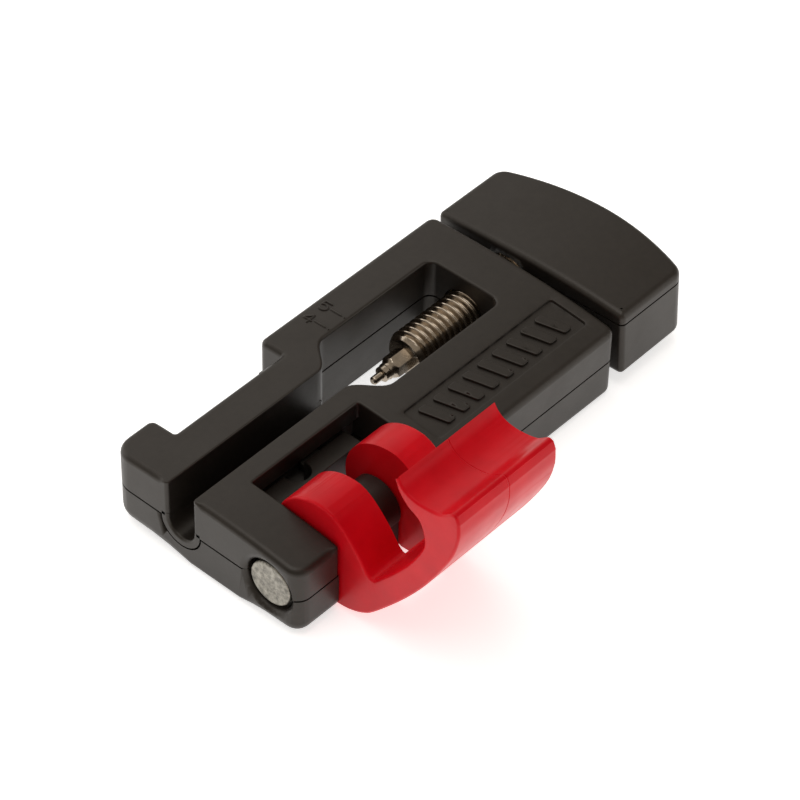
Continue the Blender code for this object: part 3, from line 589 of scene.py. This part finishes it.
def channel_tool(radius, start, end, mouth, top=30.0):
    """The hose channel as a solid: a half circle below, straight sides above, and a quarter-round
    flare of radius mouth at its front."""
    turn = np.linspace(0, math.pi / 2, 7)
    x = np.concatenate([[start], start + 1 + mouth * (1 - np.cos(turn)), [end]])
    grow = np.concatenate([[mouth], mouth * (1 - np.sin(turn)), [0.0]])
    angle = np.linspace(math.pi, 2 * math.pi, 33)
    section = np.column_stack([np.cos(angle), np.sin(angle)])
    reach = (radius + grow)[:, None, None] * section[None]
    sides = np.stack([np.stack([radius + grow, np.full(len(x), top)], -1),
                      np.stack([-radius - grow, np.full(len(x), top)], -1)], 1)
    flat = np.concatenate([reach, sides], 1) + np.array([SCREW[1], SCREW[2]])
    rings = np.concatenate([np.broadcast_to(x[:, None, None], (*flat.shape[:2], 1)), flat], -1)
    points, quads = between(rings)
    count = flat.shape[1]
    ends = [np.arange(count)[::-1].tolist(), (np.arange(count) + len(points) - count).tolist()]
    return points, quads.tolist() + ends


def block_tool(low, high):
    """A box between two corners."""
    x, y, z = np.array([low, high], float).T
    points = np.array([(a, b, c) for a in x for b in y for c in z])
    faces = [(0, 1, 3, 2), (4, 6, 7, 5), (0, 4, 5, 1), (2, 3, 7, 6), (0, 2, 6, 4), (1, 5, 7, 3)]
    return points, faces


def relief_tool():
    """Room for the shoe and the cams under the middle rail: a box with a sloping ceiling."""
    top = span("clamp_shoe")[1][2] + PLAY
    section = np.array([(BAY[2] - 1, 0), (BAY[2] + 1, 0), (BAY[2] + 1, top), (BAY[2] + 0.5, top),
                        (BAY[2] - 0.1, top + 1), (BAY[2] - 1, top + 1)])
    x = np.array([BAY[0] - 0.01, BAY[1] + 0.01])
    rings = np.concatenate([np.broadcast_to(x[:, None, None], (2, len(section), 1)),
                            np.broadcast_to(section, (2, *section.shape))], -1)
    points, quads = between(rings)
    ends = [np.arange(6)[::-1].tolist(), (np.arange(6) + 6).tolist()]
    return points, quads.tolist() + ends


def pin_bore_tool():
    """The pin's stepped bore, with a wide rounded rim at the front face."""
    head = span("lever_pin")[1][1] - PIN[1] + HEAD_PLAY
    deep, wide = HEAD_RIM
    turn = np.linspace(0, math.pi / 2, 8)
    x = np.concatenate([[-1], deep * (1 - np.cos(turn)), [HEAD_BORE_END, HEAD_BORE_END, 36.0]])
    radius = np.concatenate([[head + wide], head + wide * (1 - np.sin(turn)),
                             [head, PIN_BORE, PIN_BORE]])
    return lathe(x, radius, 96, (PIN[1], PIN[2]))


def top_shell():
    """The upper shell: walls and lips around the outline, a crowned top with the recessed panel,
    and the round channel, bores and openings cut from it."""
    rings = lip_rings(shell_outline(), SEAM, 0.08, crown)
    hole, recess = panel_recess()
    top = capped(*filled([rings[-1, :, :2], hole], 1.2), lambda p: crown(p[:, 1]))
    base = capped(*filled([rings[0, :, :2]], 50.0), lambda p: np.full(len(p), SEAM))
    shell = make_piece("body_upper_fine", *joined([between(rings), top, base] + recess))
    trough = make_piece("trough", *channel_tool(CHANNEL / 2 + TROUGH_WALL, -1.0, THROAT[0] + 1, 0.0, 0.6))
    trim = make_piece("trim", *block_tool((0, 0, 0), (50, WIDTH, 20)))
    cut_by(trough, [trim], "INTERSECT")
    cut_by(shell, [trough], "UNION")
    screw_bore = lathe([WINDOW[1] - 1, LENGTH + 1], [SCREW_BORE] * 2, 96, (SCREW[1], SCREW[2]))
    shoe = span("clamp_shoe")[1]
    opening = block_tool((BAY[0], BAY[2] - 2, 0), (shoe[0] + 0.3, BAY[2] + 5.4, shoe[2] + PLAY))
    tools = [make_piece("channel", *channel_tool(CHANNEL / 2 - 0.004, -1.0, 34.0, 0.5)),
             make_piece("pin_bore", *pin_bore_tool()), make_piece("screw_bore", *screw_bore),
             make_piece("shoe_opening", *opening), make_piece("relief", *relief_tool())]
    return cut_by(shell, tools)


# ---------------------------------------------------------------- lever, screw and pins

def lever_outline():
    """The lever's side view: the arm's curves, then the hub's arc back to their start."""
    inner, scoop, outer = (curve_through(run, 10) for run in (ARM_INNER, ARM_SCOOP, ARM_OUTER))
    start = math.atan2(outer[-1, 1] - HUB[1], outer[-1, 0] - HUB[0])
    angle = np.linspace(start, math.radians(HUB_TOP_ANGLE) - 2 * math.pi, 84)[1:]
    hub = np.column_stack([HUB[0] + HUB[2] * np.cos(angle), HUB[1] + HUB[2] * np.sin(angle)])
    curve = np.vstack([inner, scoop, outer, hub])
    loop = np.column_stack([PIN[1] - curve[:, 0], PIN[2] + curve[:, 1]])
    area = (loop[:, 0] * np.roll(loop[:, 1], -1) - np.roll(loop[:, 0], -1) * loop[:, 1]).sum()
    return spread_out(loop if area > 0 else loop[::-1], 0.05)


def lever_solid():
    """The outline carried across the bay. Both ends are quarter rounds: at turn t the outline is
    inset by r (1 - sin t) and stands r (1 - cos t) in from the end; a fine parting line runs
    around the middle."""
    loop, round_ = lever_outline(), looks().lever_lip
    turn = np.linspace(0, math.pi / 2, 7)
    inward = round_ * (1 - np.sin(turn))
    depth = round_ * (1 - np.cos(turn))
    seam = PARTING + np.array([-0.13, -0.04, 0.04, 0.13])
    x = np.concatenate([LEVER_LOW[0] + depth, seam, (LEVER_HIGH[0] - depth)[::-1]])
    inset = np.concatenate([inward, [0.0, 0.07, 0.07, 0.0], inward[::-1]])
    flat = loop[None] + inset[:, None, None] * mitres(loop)[None]
    rings = np.concatenate([np.broadcast_to(x[:, None, None], (*flat.shape[:2], 1)), flat], -1)
    side, faces = filled([flat[0]], 60.0)
    ends = [(np.column_stack([np.full(len(side), end), side]), faces) for end in (x[0], x[-1])]
    return joined([between(rings)] + ends)


def pad_end_tool():
    """A prism that takes the pad's end back, on a slope from the hub to the pad."""
    shorter, near, far = PAD_END
    end = LEVER_HIGH[0]
    plan = np.array([(end - shorter, PIN[1] - 60), (end + 2, PIN[1] - 60), (end + 2, PIN[1] - near),
                     (end, PIN[1] - near), (end - shorter, PIN[1] - far)])
    rings = np.stack([np.column_stack([plan, np.full(5, z)]) for z in (-40.0, 60.0)])
    points, quads = between(rings)
    return points, quads.tolist() + [[4, 3, 2, 1, 0], [5, 6, 7, 8, 9]]


def cam_lever():
    """The lever with the round gap between its ears and the pin's bore, edges softened."""
    lever = make_piece("lever_fine", *lever_solid())
    gap = lathe([LEVER_GAP[0], LEVER_GAP[1]], [LEVER_GAP[2]] * 2, 160, (PIN[1], PIN[2]))
    bore = lathe([0, 50], [LEVER_BORE] * 2, 64, (PIN[1], PIN[2]))
    tools = [make_piece("gap", *gap), make_piece("bore", *bore),
             make_piece("pad_end", *pad_end_tool())]
    return softened(cut_by(lever, tools), 0.28, 50, 3)


def thread():
    """A right-hand thread: radius falls from the crest by depth times a tooth that rises and falls
    once each pitch along x - pitch a / 2 pi, inside a cone at the tip."""
    tip = span("lead_screw")[0][0]
    sides, rings_a_pitch = 72, 14
    x = np.linspace(tip, THREAD_END, int((THREAD_END - tip) / PITCH * rings_a_pitch))
    angle = 2 * math.pi * np.arange(sides) / sides
    phase = (x[:, None] / PITCH - angle / (2 * math.pi)) % 1.0
    tooth = np.clip((np.abs(2 * phase - 1) - 0.14) / 0.7, 0, 1)
    tooth = tooth * tooth * (3 - 2 * tooth) * 0.55 + tooth * 0.45
    radius = THREAD_CREST - THREAD_DEPTH * PITCH * tooth
    cone = THREAD_CREST - 0.8 + (x - tip) * 0.9
    return lathe(x, np.minimum(radius, cone[:, None]), sides, (SCREW[1], SCREW[2]))


def hexagon(flats, sides, turn=0.0):
    """The radius of a hexagon at each angle: half its flats over the cosine from the nearest flat."""
    angle = 2 * math.pi * np.arange(sides) / sides + turn
    return flats / 2 / np.cos((angle % (math.pi / 3)) - math.pi / 6)


def driver():
    """The pin in the screw's end: a chamfered hexagon, a round neck with a bright ring, a fine
    tip. The radius is the smaller of the hexagon's and the turned profile's at each x."""
    tip = span("driver_pin")[0][0]
    profile = np.array(DRIVER_PROFILE)
    x = np.unique(np.concatenate([profile[:, 0], np.linspace(0, profile[-1, 0], 90)]))
    turned = np.interp(x, profile[:, 0], profile[:, 1])
    radius = np.minimum(turned[:, None], hexagon(DRIVER_HEX, 96, DRIVER_TURN))
    return lathe(tip + x, radius, 96, (SCREW[1], SCREW[2]))


def pin_with_head():
    """The lever's pin: a head with a rounded rim and a slightly hollow face, and its shank."""
    low, high = span("lever_pin")
    head, shank, edge = high[1] - PIN[1], 2.5, 0.35
    turn = np.linspace(0, math.pi / 2, 6)
    rim_x = low[0] + edge * (1 - np.cos(turn))
    rim = head - edge * (1 - np.sin(turn))
    x = np.concatenate([[low[0] + 0.06, low[0] + 0.05, low[0] + 0.02], rim_x,
                        [low[0] + 3, low[0] + 3, high[0] - 0.3, high[0]]])
    radius = np.concatenate([[0.6, head * 0.5, head * 0.8], rim,
                             [head, shank, shank, shank - 0.3]])
    return lathe(x, radius, 96, (PIN[1], PIN[2]))


# ---------------------------------------------------------------- finishes

class Recipe:
    """A Principled material under construction, on the object's own coordinates in metres."""

    def __init__(self, name, colour, roughness, metallic=0.0):
        self.material = bpy.data.materials.new(name)
        self.material.use_nodes = True
        self.tree = self.material.node_tree
        self.shader = self.tree.nodes["Principled BSDF"]
        self.shader.inputs["Base Color"].default_value = (*colour, 1.0)
        self.shader.inputs["Roughness"].default_value = roughness
        self.shader.inputs["Metallic"].default_value = metallic
        self.place = self.tree.nodes.new("ShaderNodeTexCoord").outputs["Object"]
        self.normal = None

    def node(self, kind, links=(), **settings):
        made = self.tree.nodes.new("ShaderNode" + kind)
        for key, value in settings.items():
            setattr(made, key, value)
        for socket, source in dict(links).items():
            if isinstance(source, bpy.types.NodeSocket):
                self.tree.links.new(source, made.inputs[socket])
            else:
                made.inputs[socket].default_value = source
        return made

    def noise(self, size, detail=3.0, rough=0.55, stretch=None):
        """Noise whose features are about size millimetres across."""
        place = self.place
        if stretch:
            place = self.node("Mapping", {"Vector": place, "Scale": stretch}).outputs["Vector"]
        links = {"Vector": place, "Scale": 1 / (size * MM), "Detail": detail, "Roughness": rough}
        return self.node("TexNoise", links).outputs["Fac"]

    def ranged(self, source, low, high, start=0.3, end=0.7):
        links = {"Value": source, "From Min": start, "From Max": end, "To Min": low, "To Max": high}
        return self.node("MapRange", links).outputs["Result"]

    def mixed(self, share, first, second):
        made = self.node("Mix", data_type="RGBA")
        self.tree.links.new(share, made.inputs[0])
        made.inputs[6].default_value = (*first, 1.0)
        made.inputs[7].default_value = (*second, 1.0)
        return made.outputs[2]

    def bump(self, height, depth, strength=1.0):
        """Adds relief: height 0 to 1 stands for depth millimetres."""
        links = {"Height": height, "Distance": depth * MM, "Strength": strength}
        if self.normal:
            links["Normal"] = self.normal
        self.normal = self.node("Bump", links).outputs["Normal"]
        self.tree.links.new(self.normal, self.shader.inputs["Normal"])

    def feed(self, socket, source):
        self.tree.links.new(source, self.shader.inputs[socket])


def black_nylon():
    """Glass-filled nylon: near black with a warm grain, a fine moulded texture and handling wear."""
    size = looks()
    recipe = Recipe("black_nylon_fine", size.black, 0.4)
    lighter = tuple(min(1.0, 1.5 * c) for c in size.black)
    grain = recipe.ranged(recipe.noise(1.2, 5.0, 0.6), 0, 1)
    recipe.feed("Base Color", recipe.mixed(grain, tuple(size.black), lighter))
    recipe.feed("Roughness", recipe.ranged(recipe.noise(7.0, 4.0), 0.36, 0.45))
    recipe.shader.inputs["Specular IOR Level"].default_value = 0.45
    recipe.shader.inputs["Specular Tint"].default_value = (1.0, 0.93, 0.85, 1.0)
    recipe.bump(recipe.noise(0.55, 2.0), 0.004)
    recipe.bump(recipe.noise(3.5, 2.0), 0.012)
    return recipe.material


def red_nylon():
    """Red nylon with a soft gloss, slightly cloudy, with faint flow marks from moulding."""
    size = looks()
    recipe = Recipe("red_nylon_fine", size.red, 0.3)
    cloud = recipe.ranged(recipe.noise(5.0, 3.0), 0, 1)
    deeper = (0.84 * size.red[0], 0.7 * size.red[1], 0.8 * size.red[2])
    recipe.feed("Base Color", recipe.mixed(cloud, tuple(size.red), deeper))
    recipe.feed("Roughness", recipe.ranged(recipe.noise(4.0, 3.0), 0.28, 0.36))
    recipe.shader.inputs["Specular IOR Level"].default_value = 0.42
    recipe.shader.inputs["Specular Tint"].default_value = (1.0, 0.2, 0.22, 1.0)
    recipe.shader.inputs["Subsurface Weight"].default_value = 0.06
    recipe.shader.inputs["Subsurface Radius"].default_value = (1.0, 0.05, 0.04)
    recipe.shader.inputs["Subsurface Scale"].default_value = 0.001
    recipe.bump(recipe.noise(0.8, 2.0), 0.004)
    recipe.bump(recipe.noise(5.0, 2.0, stretch=(0.4, 1.0, 1.0)), 0.012)
    return recipe.material


def bright_steel():
    """Nickel-plated steel, darkened by oil: fine turning marks and small dull spots."""
    recipe = Recipe("bright_steel_fine", looks().steel, 0.2, 1.0)
    spots = recipe.ranged(recipe.noise(1.6, 4.0, 0.6), 0, 1, 0.45, 0.7)
    warm = tuple(0.72 * c for c in looks().steel)
    recipe.feed("Base Color", recipe.mixed(spots, tuple(looks().steel), warm))
    recipe.feed("Roughness", recipe.ranged(recipe.noise(0.9, 3.0), 0.15, 0.28))
    recipe.bump(recipe.noise(0.6, 2.0, stretch=(1.0, 0.2, 0.2)), 0.003)
    return recipe.material


def zinc_steel():
    """Dull zinc plate over a sawn and tumbled surface: mottled, with shallow pits."""
    recipe = Recipe("zinc_steel_fine", (0.30, 0.28, 0.24), 0.5, 1.0)
    mottle = recipe.ranged(recipe.noise(0.9, 5.0, 0.65), 0, 1, 0.35, 0.65)
    recipe.feed("Base Color", recipe.mixed(mottle, (0.17, 0.16, 0.14), (0.40, 0.38, 0.33)))
    recipe.feed("Roughness", recipe.ranged(recipe.noise(0.8, 3.0), 0.42, 0.6))
    recipe.bump(recipe.noise(0.9, 3.0, 0.6), 0.04)
    recipe.bump(recipe.noise(1.4, 2.0, stretch=(1.0, 3.0, 0.25)), 0.03)
    return recipe.material


def brass():
    """Machined brass."""
    recipe = Recipe("brass_fine", (0.62, 0.42, 0.16), 0.3, 1.0)
    recipe.feed("Roughness", recipe.ranged(recipe.noise(0.9, 3.0), 0.22, 0.4))
    recipe.bump(recipe.noise(0.6, 2.0, stretch=(1.0, 0.2, 0.2)), 0.004)
    return recipe.material


def finish(name):
    """A finish by its name, made once."""
    made = bpy.data.materials.get(name + "_fine")
    makers = {"black_nylon": black_nylon, "red_nylon": red_nylon, "bright_steel": bright_steel,
              "zinc_steel": zinc_steel, "brass": brass}
    return made or makers[name]()


# ---------------------------------------------------------------- add-on

class BarbDriverLooks(bpy.types.PropertyGroup):
    """Sizes and colours of the fine surfaces."""
    outer_lip: FloatProperty(name="Outer edge", description="Round of the outer top edges, mm",
                             default=1.05, min=0.1, max=1.5)
    window_lip: FloatProperty(name="Window edge", description="Round of window and channel, mm",
                              default=0.45, min=0.05, max=1.0)
    bay_lip: FloatProperty(name="Bay edge", description="Round of the lever bay's edges, mm",
                           default=0.35, min=0.05, max=0.6)
    lever_lip: FloatProperty(name="Lever edge", description="Round of the lever's side edges, mm",
                             default=0.45, min=0.05, max=0.8)
    black: FloatVectorProperty(name="Shell colour", description="Nylon of body and knob",
                               subtype="COLOR", default=(0.009, 0.0070, 0.0055), min=0.0, max=1.0)
    red: FloatVectorProperty(name="Lever colour", description="Nylon of the lever",
                             subtype="COLOR", default=(0.62, 0.003, 0.010), min=0.0, max=1.0)
    steel: FloatVectorProperty(name="Steel colour", description="Plate of screw and driver pin",
                               subtype="COLOR", default=(0.46, 0.39, 0.31), min=0.0, max=1.0)


class BarbDriverView(bpy.types.PropertyGroup):
    """Camera, light and floor."""
    azimuth: FloatProperty(name="Azimuth", description="Camera's direction, from the front",
                           subtype="ANGLE", default=math.radians(-48.95))
    elevation: FloatProperty(name="Elevation", description="Camera's height angle",
                             subtype="ANGLE", default=math.radians(44.18))
    roll: FloatProperty(name="Roll", description="Camera's turn about its view",
                        subtype="ANGLE", default=math.radians(1.376))
    distance: FloatProperty(name="Distance", description="Camera to object",
                            unit="LENGTH", default=0.5564, min=0.1)
    lens: FloatProperty(name="Lens", description="Focal length on a 36 mm sensor", default=164.6)
    key: FloatProperty(name="Key light", description="Power of the soft key light",
                       unit="POWER", default=3.0, min=0.0)
    sky: FloatProperty(name="Sky", description="Strength of the even light all round", default=0.38)
    table: FloatProperty(name="Table", description="Light that the white table gives off", default=0.62)


def looks():
    """The sizes and colours that a user can change."""
    return bpy.context.scene.barb_driver_looks


class BARBDRIVER_OT_top_shell(bpy.types.Operator):
    """Make the upper shell with its channel, window, panel ribs and scale marks"""
    bl_idname = "barbdriver.top_shell"
    bl_label = "Top shell"

    def execute(self, context):
        shell = smoothed(top_shell())
        finished(shell, finish("black_nylon"), "housing", "black_nylon", "body_upper")
        ribs = make_piece("panel_ribs", *joined([rib(number) for number in range(RIBS)]))
        finished(smoothed(ribs), finish("black_nylon"), "housing", "black_nylon")
        marks = make_piece("scale_marks", *joined(scale_marks()))
        finished(smoothed(marks, 60), finish("black_nylon"), "housing", "black_nylon")
        return {"FINISHED"}


class BARBDRIVER_OT_other_shells(bpy.types.Operator):
    """Smooth the lower shell, the knob's two shells and the clamp shoe"""
    bl_idname = "barbdriver.other_shells"
    bl_label = "Lower shell, knob and shoe"

    def execute(self, context):
        forms = {"body_lower": body_block, "knob_body": knob_block, "knob_cover": knob_block}
        for node in ("body_lower", "knob_body", "knob_cover", "clamp_shoe"):
            shell = copied(node)
            if node in forms:
                cut_by(shell, [make_piece(node + "_form", *forms[node]())], "INTERSECT")
            else:
                softened(shell, 0.12, 50, 2)
            finished(smoothed(shell), finish("black_nylon"), body_of(node), "black_nylon", node)
        return {"FINISHED"}


class BARBDRIVER_OT_lever(bpy.types.Operator):
    """Make the cam lever"""
    bl_idname = "barbdriver.lever"
    bl_label = "Cam lever"

    def execute(self, context):
        finished(smoothed(cam_lever()), finish("red_nylon"), "clamp_lever", "red_nylon", "lever")
        return {"FINISHED"}


class BARBDRIVER_OT_screw(bpy.types.Operator):
    """Make the threaded lead screw and its stepped driver pin"""
    bl_idname = "barbdriver.screw"
    bl_label = "Screw and driver pin"

    def execute(self, context):
        screw = smoothed(make_piece("lead_screw_fine", *thread()), 50)
        finished(screw, finish("bright_steel"), "driver", "bright_steel", "lead_screw")
        pin = smoothed(make_piece("driver_pin_fine", *driver()), 28)
        finished(pin, finish("bright_steel"), "driver", "bright_steel", "driver_pin")
        return {"FINISHED"}


class BARBDRIVER_OT_hardware(bpy.types.Operator):
    """Make the lever's pin and finish the ring, nut, washer, roll pin and screws"""
    bl_idname = "barbdriver.hardware"
    bl_label = "Pin and fasteners"

    def execute(self, context):
        pin = smoothed(make_piece("lever_pin_fine", *pin_with_head()))
        finished(pin, finish("zinc_steel"), "housing", "zinc_steel", "lever_pin")
        fasteners = ("body_screw", "knob_screw", "pin_ret", "drive_nut", "thrust", "knob_roll")
        for part in frame["record"]["subparts"]:
            node, slot = part["node"], part["material_slot"]
            if node.startswith(fasteners):
                finished(smoothed(copied(node)), finish(slot), body_of(node), slot, node)
        return {"FINISHED"}


class BARBDRIVER_OT_stage(bpy.types.Operator):
    """Set the camera, the soft lights and the pale floor"""
    bl_idname = "barbdriver.stage"
    bl_label = "Stage"

    def execute(self, context):
        view = context.scene.barb_driver_view
        self.aim_camera(context.scene, view)
        self.lay_floor()
        self.hang_lights(view)
        world = bpy.data.worlds.new("even_sky")
        world.use_nodes = True
        background = world.node_tree.nodes["Background"]
        background.inputs["Color"].default_value = (1.0, 0.91, 0.80, 1.0)
        background.inputs["Strength"].default_value = view.sky
        context.scene.world = world
        context.scene.view_settings.view_transform = "Standard"
        return {"FINISHED"}

    def aim_camera(self, scene, view):
        """Back along the view: (sin a cos e, -cos a cos e, sin e), rolled about itself."""
        a, e = view.azimuth, view.elevation
        back = Vector((math.sin(a) * math.cos(e), -math.cos(a) * math.cos(e), math.sin(e)))
        across = Vector((0, 0, 1)).cross(back).normalized()
        up = back.cross(across)
        across, up = (math.cos(view.roll) * across + math.sin(view.roll) * up,
                      math.cos(view.roll) * up - math.sin(view.roll) * across)
        target = Vector(CORNER) + Vector(VIEW_CENTRE) * MM
        lens = bpy.data.cameras.new("camera")
        lens.lens = view.lens
        lens.sensor_width = 36.0
        lens.clip_start = 0.01
        camera = bpy.data.objects.new("camera", lens)
        turn = Matrix((across, up, back)).transposed().to_4x4()
        camera.matrix_world = Matrix.Translation(target + back * view.distance) @ turn
        scene.collection.objects.link(camera)
        scene.camera = camera

    def lay_floor(self):
        """A white table that gives off a little light, just below the base."""
        half = 3.0
        mesh = bpy.data.meshes.new("floor")
        corners = [(-half, -half, 0), (half, -half, 0), (half, half, 0), (-half, half, 0)]
        mesh.from_pydata(corners, [], [(0, 1, 2, 3)])
        floor = bpy.data.objects.new("floor", mesh)
        floor.location = (0, 0, -0.0002)
        bpy.context.scene.collection.objects.link(floor)
        recipe = Recipe("pale_floor", (0.9, 0.9, 0.9), 0.9)
        recipe.shader.inputs["Emission Color"].default_value = (1.0, 1.0, 1.0, 1.0)
        recipe.shader.inputs["Emission Strength"].default_value = bpy.context.scene.barb_driver_view.table
        mesh.materials.append(recipe.material)

    def hang_lights(self, view):
        """Square soft lights, each facing the object: name, place, side and power."""
        places = (("rear_left", (0.16, 0.34, 0.30), 0.36, 0.09 * view.key),
                  ("overhead", (-0.1, 0.1, 0.9), 0.8, view.key),
                  ("left", (-0.25, 0.8, 0.35), 0.6, 0.5 * view.key),
                  ("right", (0.45, -0.75, 0.3), 0.6, 0.4 * view.key))
        for name, place, size, power in places:
            lamp = bpy.data.lights.new(name, "AREA")
            lamp.energy = power
            lamp.size = size
            thing = bpy.data.objects.new(name, lamp)
            thing.location = place
            thing.rotation_euler = Vector(place).to_track_quat("Z", "Y").to_euler()
            bpy.context.scene.collection.objects.link(thing)


class BARBDRIVER_PT_panel(bpy.types.Panel):
    """Sizes, colours and steps of the barb driver"""
    bl_label = "Barb driver"
    bl_idname = "BARBDRIVER_PT_panel"
    bl_space_type = "VIEW_3D"
    bl_region_type = "UI"
    bl_category = "Barb driver"

    def draw(self, context):
        for group in (context.scene.barb_driver_looks, context.scene.barb_driver_view):
            box = self.layout.box()
            for name in group.bl_rna.properties.keys():
                if name not in ("rna_type", "name"):
                    box.prop(group, name)
        for step in STEPS:
            self.layout.operator(step.bl_idname)


STEPS = (BARBDRIVER_OT_stage, BARBDRIVER_OT_top_shell, BARBDRIVER_OT_other_shells,
         BARBDRIVER_OT_lever, BARBDRIVER_OT_screw, BARBDRIVER_OT_hardware)
CLASSES = (BarbDriverLooks, BarbDriverView, *STEPS, BARBDRIVER_PT_panel)


def register():
    for kind in CLASSES:
        bpy.utils.register_class(kind)
    bpy.types.Scene.barb_driver_looks = PointerProperty(type=BarbDriverLooks)
    bpy.types.Scene.barb_driver_view = PointerProperty(type=BarbDriverView)


def unregister():
    del bpy.types.Scene.barb_driver_view
    del bpy.types.Scene.barb_driver_looks
    for kind in reversed(CLASSES):
        bpy.utils.unregister_class(kind)


def main():
    register()
    bpy.ops.barbdriver.stage()
    bpy.ops.barbdriver.top_shell()
    bpy.ops.barbdriver.other_shells()
    bpy.ops.barbdriver.lever()
    bpy.ops.barbdriver.screw()
    bpy.ops.barbdriver.hardware()


if __name__ == "__main__":
    main()
